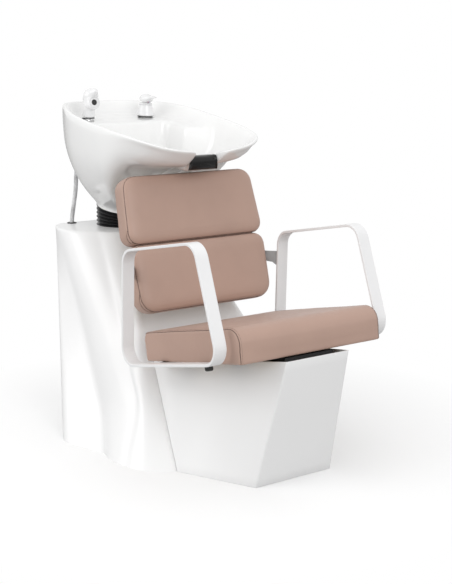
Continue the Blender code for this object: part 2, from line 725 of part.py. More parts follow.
def basin():
    """The ceramic: outside, rim, inside and the hollow foot as one closed skin with a drain hole."""
    loop = rim_loop()

    def drain_ring(level):
        ring = []
        for rim in loop:
            away = (Vector((rim.x, rim.y)) - DRAIN).normalized()
            spot = DRAIN + away * DRAIN_RADIUS
            ring.append(Vector((spot.x, spot.y, level)))
        return ring

    ceiling = []
    for rim in loop:
        p = foot_point(rim, FOOT_INNER)
        ceiling.append(Vector((p.x, p.y, 0.776)))
    rings = [drain_ring(0.776), ceiling]
    rings.append([foot_point(rim, FOOT_INNER + 0.001) for rim in loop])
    rings.append([foot_point(rim, FOOT_RADIUS - 0.002) for rim in loop])
    rings.append([foot_point(rim, FOOT_RADIUS, 0.002) for rim in loop])
    for station in range(9, 0, -1):
        rings.append(outer_ring(loop, station))
    rings.append([p - Vector((0, 0, 0.003)) for p in outer_ring(loop, 0)])
    for share in (0.25, 0.75):
        ring = []
        for rim in loop:
            inward = (Vector((DRAIN.x, DRAIN.y, 0)) - Vector((rim.x, rim.y, 0))).normalized()
            ring.append(rim + inward * WALL * share)
        rings.append(ring)
    inner = inner_ring(loop, 0)
    rings.append([p - Vector((0, 0, 0.004)) for p in inner])
    for station in range(1, INNER_STATIONS):
        rings.append(inner_ring(loop, station))
    rings.append(drain_ring(0.800))
    bowl = loft("basin", rings, (CERAMIC, 0.08), origin=TILT_AXIS, looped=True)
    pocket = box("basin_pocket_cutter", (-0.140, 0.372, 0.806), (0.140, 0.640, 0.947), None)
    cut(bowl, pocket)
    for i, x in enumerate((-TAP_X, TAP_X)):
        place = frame_of(at=(x, TAP_Y, 0))
        hole = turned(f"tap_hole_cutter_{i}", ((TAP_HOLE, 0.93), (TAP_HOLE, 1.05)), 24, None, place)
        cut(bowl, hole)


NECK_HALF = 0.0465
NECK_TOP = 0.891
NECK_LOW = 0.845
NECK_FRONT = -0.093


def neck_ring(x, clear):
    """One slice of the gel pad across the notch, from inside the bowl over the lip and down in front."""
    lip_points = list(reversed(RIM[16:]))
    across = [p[0] for p in lip_points]
    lip_y = between(across, [p[1] for p in lip_points], abs(x)) - clear
    lip_z = between(across, [p[2] for p in lip_points], abs(x)) + clear
    top = max(NECK_TOP, lip_z + 0.007)
    front = min(NECK_FRONT + 0.004 * (x / NECK_HALF) ** 2, lip_y - 0.004)
    slice_points = (
        (1.0, lip_y + 0.036, lip_z + 0.002), (1.0, lip_y + 0.032, 0.5 * (lip_z + top)),
        (1.0, lip_y + 0.020, top), (1.0, lip_y + 0.002, top), (1.0, front + 0.004, top - 0.005),
        (1.0, front, 0.5 * (top + NECK_LOW) + 0.004),
        (1.13, front + 0.006, NECK_LOW + 0.006), (1.24, front + 0.017, NECK_LOW),
        (1.10, min(lip_y, front + 0.018), NECK_LOW + 0.006), (1.0, lip_y, lip_z),
    )
    return [Vector((x * flare, y, z)) for flare, y, z in slice_points]


def neck_rest():
    """Black gel saddle over the notch in the basin's front lip, hanging down in front of it."""
    count = 15
    rings = []
    for k in range(count):
        x = NECK_HALF * (-1 + 2 * k / (count - 1))
        rings.append(neck_ring(x, 0.0055))
    loft("neck_rest", rings, (BLACK, 0.2), origin=TILT_AXIS)


def bellows():
    """Pleated rubber sleeve between the column's top and the basin's sloping foot."""
    folds = 4
    sides = 36
    wall = 0.0022
    outside = []
    inside = []
    stations = 2 * folds + 1
    for k in range(stations):
        share = k / (stations - 1)
        radius = 0.101 if k % 2 == 0 else 0.093
        if k == stations - 1:
            radius = FOOT_RADIUS - 0.002
        for store, r in ((outside, radius), (inside, radius - wall)):
            ring = []
            for j in range(sides):
                turn = 2 * math.pi * j / sides
                x = r * math.cos(turn)
                y = r * math.sin(turn)
                top = FOOT_LEVEL + FOOT_SLOPE * y - GAP
                base = COLUMN_TOP + GAP
                ring.append(Vector((x, BELLOWS_CENTRE.y + y, base + (top - base) * share)))
            store.append(ring)
    loft("bellows", outside + list(reversed(inside)), (BLACK, 0.55), looped=True)


def tilt_mount():
    """Yoke on the post, pin, and the plate in the basin's foot that turns on it."""
    depth = (TILT_AXIS.y - 0.022, TILT_AXIS.y + 0.022)
    base = POST_TOP + GAP
    yoke_outline = ((-0.062, base), (0.062, base), (0.062, 0.716), (0.056, 0.716), (0.056, base + 0.006),
                    (-0.056, base + 0.006), (-0.056, 0.716), (-0.062, 0.716))
    yoke = prism("tilt_yoke", yoke_outline, depth[0], depth[1], (STEEL, 0.5, 0.6), along_y)
    plate_outline = ((-0.052, 0.7755), (-0.052, 0.684), (-0.046, 0.684), (-0.046, 0.7695), (0.046, 0.7695),
                     (0.046, 0.684), (0.052, 0.684), (0.052, 0.7755))
    plate = prism("basin_plate", plate_outline, depth[0] + 0.002, depth[1] - 0.002,
                  (STEEL, 0.5, 0.6), along_y, origin=TILT_AXIS)
    across = Matrix.Translation(TILT_AXIS) @ Matrix.Rotation(math.radians(90), 4, "Y")
    for target, extra in ((yoke, GAP), (plate, 0.0001)):
        bore_radius = PIN_RADIUS + extra
        bore = turned(f"{target.name}_bore_cutter", ((bore_radius, -0.08), (bore_radius, 0.08)),
                      24, None, across)
        cut(target, bore)
    turned("tilt_pin", ((PIN_RADIUS, -0.066), (PIN_RADIUS, 0.066)), 24,
           (GREY, 0.3, 1.0), across, origin=TILT_AXIS)


def waste():
    """Strainer in the bowl with its tail through the foot, and the waste pipe that rises below it."""
    place = frame_of(at=(DRAIN.x, DRAIN.y, 0))
    profile = ((0.0220, 0.8065), (0.0210, 0.8085), (0.0150, 0.8075), (0.0150, 0.715), (0.0170, 0.715),
               (0.0170, 0.8045), (0.0220, 0.8055))
    turned("waste_flange", profile, 28, (GREY, 0.2, 1.0), place, origin=TILT_AXIS, hollow=True)
    path = ((DRAIN.x, DRAIN.y, POST_TOP), (DRAIN.x, DRAIN.y, 0.300), (DRAIN.x, DRAIN.y, 0.030))
    rings = []
    outer, inner = 0.020, 0.0175
    for radius, order in ((outer, path), (inner, tuple(reversed(path)))):
        for point in order:
            ring = []
            for j in range(20):
                turn = 2 * math.pi * j / 20
                ring.append(Vector((point[0] + radius * math.cos(turn),
                                    point[1] + radius * math.sin(turn), point[2])))
            rings.append(ring)
    loft("waste_pipe", rings, (GREY, 0.5), looped=True)


# ---------------------------------------------------------------- taps and hose


def tap_base(name, x, radius):
    """Dark gasket between a tap and the deck."""
    level = deck_level(TAP_Y)
    profile = ((0.0165, 0.0048), (radius, 0.0048), (radius, 0.0078), (0.0165, 0.0078))
    turned(name, profile, 28, (BLACK, 0.5), frame_of(at=(x, TAP_Y, level)), origin=TILT_AXIS, hollow=True)


def handset():
    """Docked shower handset with its round face, above the sleeve that guides the hose."""
    x = -TAP_X
    level = deck_level(TAP_Y)
    sleeve = ((0.0100, -0.035), (0.0150, -0.035), (0.0150, 0.0085), (0.0100, 0.0085))
    turned("handset_sleeve", sleeve, 24, (GREY, 0.3, 1.0), frame_of(at=(x, TAP_Y, level)), origin=TILT_AXIS,
           hollow=True)
    lean = frame_of(HANDSET_LEAN, (x, TAP_Y, level))
    body = []
    for radius, forward, up in ((0.0200, 0.000, 0.0120), (0.0212, 0.000, 0.0150), (0.0195, 0.001, 0.026),
                                (0.0200, 0.002, 0.042), (0.0222, 0.004, 0.058), (0.0245, 0.006, 0.073),
                                (0.0242, 0.008, 0.086), (0.0200, 0.010, 0.097), (0.0095, 0.012, 0.104)):
        ring = []
        for j in range(28):
            turn = 2 * math.pi * j / 28
            ring.append(lean @ Vector((radius * math.cos(turn), radius * math.sin(turn) - forward, up)))
        body.append(ring)
    shape = loft("shower_handset", body, (WHITE, 0.2), origin=(x, TAP_Y, level))
    face = Matrix.Translation(lean @ Vector((0, -0.004, 0.056))) @ Matrix.Rotation(math.radians(82), 4, "X")
    barrel_profile = ((0.0225, 0.0), (0.0240, 0.014), (0.0232, 0.026), (0.0205, 0.030))
    barrel = turned("handset_barrel", barrel_profile, 28, None, face)
    cut(shape, barrel, "UNION")
    beak = lean @ Vector((0, -0.006, 0.084))
    tip = Matrix.Translation(beak) @ Matrix.Rotation(math.radians(68), 4, "X")
    beak_profile = ((0.0170, 0.0), (0.0125, 0.026), (0.0055, 0.042))
    cut(shape, turned("handset_beak", beak_profile, 20, None, tip), "UNION")
    well = turned("handset_well_cutter", ((0.0095, 0.025), (0.0095, 0.060)), 24, None, face)
    cut(shape, well)
    turned("handset_nozzle", ((0.0090, 0.0255), (0.0090, 0.0305), (0.0070, 0.0315)), 24, (BLACK, 0.3), face,
           origin=(x, TAP_Y, level))


def mixer():
    """Single-lever mixer: fixed body, turning collar, and the lever head that also lifts."""
    x = TAP_X
    level = deck_level(TAP_Y)
    place = frame_of(MIXER_LEAN, (x, TAP_Y, level))
    body = ((0.0280, 0.0103), (0.0290, 0.0125), (0.0262, 0.0220), (0.0238, 0.0330), (0.0220, 0.0440),
            (0.0205, 0.0445))
    turned("mixer_body", body, 32, (WHITE, 0.2), place, origin=TILT_AXIS)
    collar = ((0.0212, 0.0450), (0.0219, 0.0455), (0.0219, 0.0495), (0.0120, 0.0500), (0.0120, 0.0590))
    turned("mixer_collar", collar, 32, (WHITE, 0.2), place, origin=place @ Vector((0, 0, 0.045)))
    rings = []
    for half, top, low, forward in ((0.0060, 0.0660, 0.0580, -0.0215), (0.0145, 0.0745, 0.0555, -0.0170),
                                    (0.0215, 0.0790, 0.0532, -0.0070), (0.0222, 0.0800, 0.0512, 0.0030),
                                    (0.0205, 0.0790, 0.0510, 0.0130), (0.0160, 0.0770, 0.0560, 0.0215),
                                    (0.0115, 0.0770, 0.0650, 0.0320), (0.0095, 0.0780, 0.0690, 0.0460),
                                    (0.0055, 0.0780, 0.0730, 0.0620)):
        ring = []
        middle = (top + low) / 2
        tall = (top - low) / 2
        for j in range(20):
            turn = 2 * math.pi * j / 20
            z = middle + tall * math.sin(turn)
            fullness = 0.5 if math.sin(turn) < 0 else 1.0
            across = math.copysign(abs(math.cos(turn)) ** fullness, math.cos(turn))
            ring.append(place @ Vector((half * across, -forward, z)))
        rings.append(ring)
    hinge = place @ Vector((0, 0, 0.056))
    lever = loft("mixer_lever", rings, (WHITE, 0.2), origin=hinge)
    socket = turned("mixer_socket_cutter", ((0.0150, 0.040), (0.0150, 0.0640)), 24, None, place)
    cut(lever, socket)


def hose_route():
    """Centre line of the shower hose, from the sleeve to the elbow inside the column."""
    level = deck_level(TAP_Y)
    return (
        (-TAP_X, TAP_Y, level - 0.0355), (-TAP_X, TAP_Y + 0.015, 0.915), (-0.112, 0.486, 0.855),
        (-0.106, 0.512, 0.800), (-0.112, 0.509, 0.740), (-0.127, 0.499, 0.685),
        (HOSE_HOLE.x, HOSE_HOLE.y, 0.632), (-0.152, 0.462, 0.560),
        (-0.148, 0.410, 0.420), (-0.130, 0.340, 0.280), (-0.100, 0.240, 0.195), (-0.065, 0.170, 0.200),
        (-0.045, 0.150, 0.290), (-0.040, 0.170, 0.400), (-0.040, 0.200, 0.478),
    )


def shower_hose():
    curve = bpy.data.curves.new("shower_hose", "CURVE")
    curve.dimensions = "3D"
    curve.bevel_depth = HOSE_RADIUS
    curve.bevel_resolution = 3
    curve.use_fill_caps = True
    points = spline(hose_route(), 40, closed=False)
    line = curve.splines.new("POLY")
    line.points.add(len(points) - 1)
    for target, p in zip(line.points, points):
        place = p - MIDDLE
        target.co = (place.x, place.y, place.z, 1.0)
    made = bpy.data.objects.new("shower_hose", curve)
    bpy.context.collection.objects.link(made)
    curve.materials.append(material("shower_hose", GREY, 0.35))


def hose_elbow():
    """Brass outlet on the post that feeds the hose inside the column."""
    end = Vector(hose_route()[-1])
    before = Vector(hose_route()[-2])
    along = (end - before).normalized()
    turn = Vector((0, 0, 1)).rotation_difference(along).to_matrix().to_4x4()
    place = Matrix.Translation(end) @ turn
    elbow_profile = ((0.0105, GAP), (0.0105, 0.020), (0.0075, 0.024), (0.0075, 0.060))
    turned("hose_elbow", elbow_profile, 16, (GREY, 0.3, 1.0), place)


def main():
    clear_scene()
    column_shell()
    service_panel()
    front_cowl()
    floor_frame()
    posts()
    seat()
    seat_steel()
    armrests()
    back()
    basin()
    neck_rest()
    bellows()
    tilt_mount()
    waste()
    tap_base("handset_gasket", -TAP_X, 0.0205)
    tap_base("mixer_gasket", TAP_X, 0.0262)
    handset()
    mixer()
    shower_hose()
    hose_elbow()


main()
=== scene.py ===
"""Looks of the shampoo backwash unit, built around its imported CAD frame.

Metres, +Z up, -Y is the front.  Coordinates below use the same working origin as the CAD source, and
MIDDLE moves them to the middle of the unit's length.
"""

import math

import bmesh
import bpy
from mathutils import Matrix, Vector
from mathutils.bvhtree import BVHTree
from mathutils.kdtree import KDTree


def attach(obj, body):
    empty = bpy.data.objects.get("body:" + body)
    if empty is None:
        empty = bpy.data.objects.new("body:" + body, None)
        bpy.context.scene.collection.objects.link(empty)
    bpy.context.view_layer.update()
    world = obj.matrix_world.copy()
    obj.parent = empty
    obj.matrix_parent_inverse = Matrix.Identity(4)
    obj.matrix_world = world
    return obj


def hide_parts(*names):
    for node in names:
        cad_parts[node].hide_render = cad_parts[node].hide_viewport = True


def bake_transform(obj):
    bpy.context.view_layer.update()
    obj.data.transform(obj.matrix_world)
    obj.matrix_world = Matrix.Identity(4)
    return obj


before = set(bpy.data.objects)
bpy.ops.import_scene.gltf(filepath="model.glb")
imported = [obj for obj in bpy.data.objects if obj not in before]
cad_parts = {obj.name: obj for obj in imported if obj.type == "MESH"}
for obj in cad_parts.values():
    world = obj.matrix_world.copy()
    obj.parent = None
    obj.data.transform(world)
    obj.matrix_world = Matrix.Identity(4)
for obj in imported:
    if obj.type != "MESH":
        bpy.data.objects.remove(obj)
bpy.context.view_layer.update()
MIDDLE = Vector((0.0, -0.041, 0.0))

# ---------------------------------------------------------------- camera, floor and light

CAMERA_PLACE = (-2.073, -3.016, 1.222)
CAMERA_TURN = (78.28, 0.0, -35.97)
CAMERA_LENS = 73.98
FLOOR_WHITE = (0.95, 0.95, 0.95)
FLOOR_NEAR = 0.45
FLOOR_FAR = 1.10
FLOOR_GLOW = 0.45
FLOOR_BOUNCE = (0.56, 0.56, 0.56)
AMBIENT = 0.86
KEY_POWER = 31
SIDE_POWER = 35
TOP_POWER = 4


def place_camera():
    data = bpy.data.cameras.new("camera")
    data.lens = CAMERA_LENS
    data.sensor_width = 36.0
    made = bpy.data.objects.new("camera", data)
    made.location = CAMERA_PLACE
    made.rotation_euler = [math.radians(turn) for turn in CAMERA_TURN]
    bpy.context.scene.collection.objects.link(made)
    bpy.context.scene.camera = made


def area_light(name, place, aim, size, power):
    data = bpy.data.lights.new(name, "AREA")
    data.shape = "RECTANGLE"
    data.size, data.size_y = size
    data.energy = power
    made = bpy.data.objects.new(name, data)
    made.location = place
    made.rotation_euler = (Vector(aim) - Vector(place)).to_track_quat("-Z", "Y").to_euler()
    bpy.context.scene.collection.objects.link(made)


def studio():
    world = bpy.data.worlds.new("studio")
    bpy.context.scene.world = world
    world.use_nodes = True
    sky = world.node_tree.nodes["Background"]
    sky.inputs["Color"].default_value = (1.0, 1.0, 1.0, 1.0)
    sky.inputs["Strength"].default_value = AMBIENT
    seen = world.node_tree.nodes.new("ShaderNodeBackground")
    seen.inputs["Strength"].default_value = 1.0
    path = world.node_tree.nodes.new("ShaderNodeLightPath")
    pick = world.node_tree.nodes.new("ShaderNodeMixShader")
    world.node_tree.links.new(path.outputs["Is Camera Ray"], pick.inputs[0])
    world.node_tree.links.new(sky.outputs[0], pick.inputs[1])
    world.node_tree.links.new(seen.outputs[0], pick.inputs[2])
    seen.inputs["Color"].default_value = (1.0, 1.0, 1.0, 1.0)
    world.node_tree.links.new(pick.outputs[0], world.node_tree.nodes["World Output"].inputs["Surface"])
    area_light("key", (-0.5, -3.3, 2.0), (0.0, -0.1, 0.7), (1.8, 1.8), KEY_POWER)
    area_light("side", (-3.2, 0.7, 1.7), (0.0, 0.1, 0.6), (2.2, 2.0), SIDE_POWER)
    area_light("top", (0.0, -0.4, 3.6), (0.0, 0.0, 0.5), (3.0, 3.0), TOP_POWER)
    scene = bpy.context.scene
    scene.view_settings.view_transform = "Standard"
    scene.view_settings.look = "None"


# ---------------------------------------------------------------- materials


class Look:
    """A material being built: the shader, and short ways to add nodes to it."""

    def __init__(self, name, colour, rough, **sockets):
        self.made = bpy.data.materials.new(name)
        self.made.use_nodes = True
        self.tree = self.made.node_tree
        self.shader = self.tree.nodes["Principled BSDF"]
        self.shader.inputs["Base Color"].default_value = (*colour, 1.0)
        self.shader.inputs["Roughness"].default_value = rough
        for socket, value in sockets.items():
            self.shader.inputs[socket.replace("_", " ")].default_value = value
        self.place = self.add("ShaderNodeTexCoord").outputs["Object"]
        self.height = None

    def add(self, kind, **settings):
        node = self.tree.nodes.new(kind)
        for key, value in settings.items():
            setattr(node, key, value)
        return node

    def link(self, source, target):
        self.tree.links.new(source, target)

    def noise(self, scale, detail=3.0, rough=0.5):
        node = self.add("ShaderNodeTexNoise")
        node.inputs["Scale"].default_value = scale
        node.inputs["Detail"].default_value = detail
        node.inputs["Roughness"].default_value = rough
        self.link(self.place, node.inputs["Vector"])
        return node.outputs["Fac"]

    def cells(self, scale, feature="F1"):
        node = self.add("ShaderNodeTexVoronoi", feature=feature)
        node.inputs["Scale"].default_value = scale
        self.link(self.place, node.inputs["Vector"])
        return node.outputs["Distance"]

    def ramp(self, source, low, high, out_low, out_high):
        node = self.add("ShaderNodeMapRange")
        node.inputs["From Min"].default_value = low
        node.inputs["From Max"].default_value = high
        node.inputs["To Min"].default_value = out_low
        node.inputs["To Max"].default_value = out_high
        self.link(source, node.inputs["Value"])
        return node.outputs["Result"]

    def tint(self, source, low, high, first, second):
        """Base colour that runs from first to second as source runs from low to high."""
        node = self.add("ShaderNodeValToRGB")
        node.color_ramp.elements[0].position = low
        node.color_ramp.elements[0].color = (*first, 1.0)
        node.color_ramp.elements[1].position = high
        node.color_ramp.elements[1].color = (*second, 1.0)
        self.link(source, node.inputs["Fac"])
        self.link(node.outputs["Color"], self.shader.inputs["Base Color"])

    def rough(self, source, low, high):
        self.link(self.ramp(source, 0.3, 0.7, low, high), self.shader.inputs["Roughness"])

    def bump(self, source, strength, distance):
        """Add one more layer of relief; layers stack."""
        node = self.add("ShaderNodeBump")
        node.inputs["Strength"].default_value = strength
        node.inputs["Distance"].default_value = distance
        self.link(source, node.inputs["Height"])
        if self.height is not None:
            self.link(self.height, node.inputs["Normal"])
        self.height = node.outputs["Normal"]
        self.link(self.height, self.shader.inputs["Normal"])


def scaled(colour, share):
    return tuple(c * share for c in colour)


VINYL = (0.450, 0.302, 0.244)
WHITE = (0.89, 0.89, 0.89)


def vinyl():
    look = Look("vinyl", VINYL, 0.42, Specular_IOR_Level=0.42, Sheen_Weight=0.06, Sheen_Roughness=0.5)
    blotch = look.noise(7.0, 4.0)
    look.tint(blotch, 0.3, 0.7, scaled(VINYL, 0.96), scaled(VINYL, 1.04))
    look.rough(look.noise(60.0, 4.0), 0.36, 0.50)
    look.bump(look.noise(26.0, 3.0), 0.10, 0.002)
    look.bump(look.cells(900.0), 0.22, 0.0004)
    look.bump(look.noise(2600.0, 2.0), 0.12, 0.0002)
    return look.made


def shell_white():
    look = Look("shell_white", WHITE, 0.30, Coat_Weight=0.25, Coat_Roughness=0.18)
    look.tint(look.noise(5.0, 3.0), 0.3, 0.7, scaled(WHITE, 0.985), WHITE)
    look.rough(look.noise(40.0, 4.0), 0.29, 0.33)
    look.bump(look.noise(6.0, 1.0), 0.04, 0.002)
    look.bump(look.noise(1400.0, 1.0), 0.03, 0.0001)
    return look.made


def ceramic():
    look = Look("ceramic", (0.90, 0.90, 0.90), 0.075, Coat_Weight=0.35, Coat_Roughness=0.12)
    look.tint(look.noise(9.0, 2.0), 0.3, 0.7, (0.885, 0.885, 0.88), (0.905, 0.905, 0.90))
    look.rough(look.noise(30.0, 3.0), 0.06, 0.09)
    look.bump(look.noise(8.0, 1.0), 0.05, 0.0015)
    return look.made


def enamel():
    look = Look("enamel", (0.84, 0.84, 0.845), 0.34, Coat_Weight=0.15, Coat_Roughness=0.2)
    look.tint(look.noise(12.0, 3.0), 0.3, 0.7, (0.83, 0.83, 0.835), (0.85, 0.85, 0.855))
    look.rough(look.noise(70.0, 4.0), 0.30, 0.40)
    look.bump(look.noise(1500.0, 2.0), 0.14, 0.0002)
    return look.made


def glossy_white():
    look = Look("glossy_white", (0.82, 0.82, 0.825), 0.12, Coat_Weight=0.5, Coat_Roughness=0.05)
    look.tint(look.noise(30.0, 2.0), 0.3, 0.7, (0.81, 0.81, 0.815), (0.83, 0.83, 0.835))
    look.rough(look.noise(120.0, 3.0), 0.10, 0.17)
    look.bump(look.noise(90.0, 2.0), 0.05, 0.0004)
    return look.made


def rubber(name, colour, low, high, grain):
    look = Look(name, colour, low)
    look.tint(look.noise(35.0, 3.0), 0.3, 0.7, colour, scaled(colour, 1.7))
    look.rough(look.noise(80.0, 4.0), low, high)
    look.bump(look.noise(grain, 3.0), 0.2, 0.0004)
    return look.made


def gel():
    look = Look("gel", (0.006, 0.006, 0.006), 0.2, Specular_IOR_Level=0.3, Coat_Weight=0.15,
                Coat_Roughness=0.1)
    look.tint(look.noise(20.0, 3.0), 0.3, 0.7, (0.004, 0.004, 0.004), (0.009, 0.009, 0.009))
    look.rough(look.noise(60.0, 3.0), 0.16, 0.26)
    look.bump(look.noise(45.0, 3.0), 0.16, 0.001)
    return look.made


def metal(name, colour, low, high, grain=900.0, strength=0.1):
    look = Look(name, colour, low, Metallic=1.0)
    look.tint(look.noise(50.0, 4.0), 0.3, 0.7, scaled(colour, 0.92), colour)
    look.rough(look.noise(200.0, 4.0), low, high)
    look.bump(look.noise(grain, 2.0), strength, 0.0002)
    return look.made


def powder(name, colour, low, high):
    look = Look(name, colour, low)
    look.tint(look.noise(30.0, 4.0), 0.3, 0.7, scaled(colour, 0.9), scaled(colour, 1.1))
    look.rough(look.noise(90.0, 3.0), low, high)
    look.bump(look.noise(1800.0, 2.0), 0.25, 0.0003)
    return look.made


def plywood():
    look = Look("plywood", (0.50, 0.36, 0.21), 0.6)
    wave = look.add("ShaderNodeTexWave", wave_type="RINGS", rings_direction="X")
    wave.inputs["Scale"].default_value = 28.0
    wave.inputs["Distortion"].default_value = 9.0
    wave.inputs["Detail"].default_value = 4.0
    look.link(look.place, wave.inputs["Vector"])
    look.tint(wave.outputs["Fac"], 0.0, 1.0, (0.47, 0.33, 0.19), (0.55, 0.40, 0.24))
    look.rough(look.noise(60.0, 4.0), 0.5, 0.7)
    look.bump(look.noise(700.0, 4.0), 0.3, 0.0004)
    return look.made


def paint(name, colour, rough):
    look = Look(name, colour, rough)
    look.tint(look.noise(400.0, 2.0), 0.3, 0.7, scaled(colour, 0.9), colour)
    look.bump(look.noise(2000.0, 2.0), 0.1, 0.0001)
    return look.made


LOOKS = {
    "vinyl": vinyl(),
    "thread": paint("thread", scaled(VINYL, 0.28), 0.6),
    "shell": shell_white(),
    "ceramic": ceramic(),
    "enamel": enamel(),
    "glossy": glossy_white(),
    "rubber": rubber("rubber", (0.012, 0.012, 0.013), 0.30, 0.48, 900.0),
    "cap": rubber("black_cap", (0.02, 0.02, 0.02), 0.4, 0.55, 1500.0),
    "gel": gel(),
    "hose": rubber("hose_grey", (0.42, 0.42, 0.425), 0.30, 0.40, 1200.0),
    "pipe": rubber("pipe_grey", (0.22, 0.22, 0.225), 0.4, 0.5, 700.0),
    "chrome": metal("chrome", (0.72, 0.72, 0.73), 0.05, 0.12),
    "brass": metal("brass", (0.62, 0.46, 0.22), 0.18, 0.30),
    "steel": metal("bare_steel", (0.50, 0.50, 0.51), 0.22, 0.35),
    "black_steel": powder("black_steel", (0.018, 0.018, 0.019), 0.42, 0.55),
    "grey_steel": powder("grey_steel", (0.36, 0.365, 0.37), 0.34, 0.46),
    "plywood": plywood(),
    "red": paint("hot_mark", (0.75, 0.01, 0.03), 0.3),
    "blue": paint("cold_mark", (0.02, 0.08, 0.55), 0.3),
}

# ---------------------------------------------------------------- building blocks


def shade(mesh, angle=32):
    mesh.shade_smooth()
    mesh.set_sharp_from_angle(angle=math.radians(angle))


def mesh_piece(name, verts, faces, angle=32):
    """A new object from points in working coordinates."""
    mesh = bpy.data.meshes.new(name)
    mesh.from_pydata([Vector(v) - MIDDLE for v in verts], [], faces)
    work = bmesh.new()
    work.from_mesh(mesh)
    bmesh.ops.recalc_face_normals(work, faces=work.faces)
    work.to_mesh(mesh)
    work.free()
    shade(mesh, angle)
    made = bpy.data.objects.new(name, mesh)
    bpy.context.scene.collection.objects.link(made)
    return made


def loft(name, rings, looped=False, angle=32, caps=True):
    """Skin equal rings of points; looped joins the last ring to the first, otherwise both ends are capped."""
    count = len(rings[0])
    verts = [point for ring in rings for point in ring]
    faces = []
    spans = len(rings) if looped else len(rings) - 1
    for i in range(spans):
        here = i * count
        there = ((i + 1) % len(rings)) * count
        for j in range(count):
            k = (j + 1) % count
            faces.append((here + j, here + k, there + k, there + j))
    if caps and not looped:
        faces.append(tuple(range(count)))
        faces.append(tuple(range(len(verts) - 1, len(verts) - 1 - count, -1)))
    return mesh_piece(name, verts, faces, angle)


def settle(piece, angle=32):
    """Turn a piece's modifiers into its mesh."""
    graph = bpy.context.evaluated_depsgraph_get()
    made = bpy.data.meshes.new_from_object(piece.evaluated_get(graph))
    old = piece.data
    piece.modifiers.clear()
    piece.data = made
    made.name = piece.name
    bpy.data.meshes.remove(old)
    shade(piece.data, angle)
    return piece


def subdivide(piece, levels=1, angle=60):
    step = piece.modifiers.new("smooth", "SUBSURF")
    step.levels = levels
    step.render_levels = levels
    return settle(piece, angle)


def remesh(piece, size):
    step = piece.modifiers.new("remesh", "REMESH")
    step.mode = "VOXEL"
    step.voxel_size = size
    return settle(piece, 80)


def relax(piece, times, factor=0.5):
    step = piece.modifiers.new("relax", "SMOOTH")
    step.factor = factor
    step.iterations = times
    return settle(piece, 80)


def bevel(piece, width, segments=2, angle=40):
    step = piece.modifiers.new("bevel", "BEVEL")
    step.width = width
    step.segments = segments
    step.limit_method = "ANGLE"
    step.angle_limit = math.radians(angle)
    step.harden_normals = False
    return settle(piece, 32)


def cut(piece, cutter, operation="DIFFERENCE", angle=32):
    """Boolean with a helper, which is then thrown away."""
    step = piece.modifiers.new("cut", "BOOLEAN")
    step.operation = operation
    step.solver = "EXACT"
    step.object = cutter
    settle(piece, angle)
    spent = cutter.data
    bpy.data.objects.remove(cutter)
    bpy.data.meshes.remove(spent)
    return piece


def frame_of(slope=0.0, at=(0, 0, 0)):
    return Matrix.Translation(Vector(at)) @ Matrix.Rotation(slope, 4, "X")


def turned(name, profile, sides, place, hollow=False, angle=32):
    """Turn (radius, height) points about a frame's Z axis; a hollow profile closes on itself."""
    rings = []
    for radius, height in profile:
        ring = []
        for j in range(sides):
            turn = 2 * math.pi * j / sides
            ring.append(place @ Vector((radius * math.cos(turn), radius * math.sin(turn), height)))
        rings.append(ring)
    return loft(name, rings, hollow, angle)


def block(name, low, high):
    rings = []
    for z in (low[2], high[2]):
        corners = ((low[0], low[1]), (high[0], low[1]), (high[0], high[1]), (low[0], high[1]))
        rings.append([Vector((x, y, z)) for x, y in corners])
    return loft(name, rings)


def rounded(corners, radii, steps):
    """A closed outline through corners, each rounded by an arc of its own radius."""
    outline = []
    count = len(corners)
    for i in range(count):
        here = Vector(corners[i])
        radius = radii[i]
        back = (Vector(corners[i - 1]) - here).normalized()
        ahead = (Vector(corners[(i + 1) % count]) - here).normalized()
        half = back.angle(ahead) / 2
        middle = here + (back + ahead).normalized() * (radius / math.sin(half))
        first = here + back * (radius / math.tan(half)) - middle
        sweep = first.angle_signed(here + ahead * (radius / math.tan(half)) - middle)
        for k in range(steps + 1):
            outline.append(middle + Matrix.Rotation(-sweep * k / steps, 2) @ first)
    return outline


def spline(points, count, closed=False):
    """Points evenly spread along a smooth curve through the given ones."""
    total = len(points)
    fine = []
    spans = total if closed else total - 1
    for i in range(spans):
        near = []
        for k in (-1, 0, 1, 2):
            index = (i + k) % total if closed else min(max(i + k, 0), total - 1)
            near.append(Vector(points[index]))
        a, b, c, d = near
        for k in range(12):
            t = k / 12
            curve = b * 2 + (c - a) * t + (a * 2 - b * 5 + c * 4 - d) * t**2 + (b * 3 - a - c * 3 + d) * t**3
            fine.append(curve * 0.5)
    fine.append(fine[0] if closed else Vector(points[-1]))
    lengths = [0.0]
    for before, after in zip(fine, fine[1:]):
        lengths.append(lengths[-1] + (after - before).length)
    spread = []
    steps = count if closed else count - 1
    at = 0
    for k in range(count):
        goal = lengths[-1] * k / steps
        while at < len(lengths) - 2 and lengths[at + 1] < goal:
            at += 1
        share = (goal - lengths[at]) / max(lengths[at + 1] - lengths[at], 1e-9)
        spread.append(fine[at].lerp(fine[at + 1], share))
    return spread


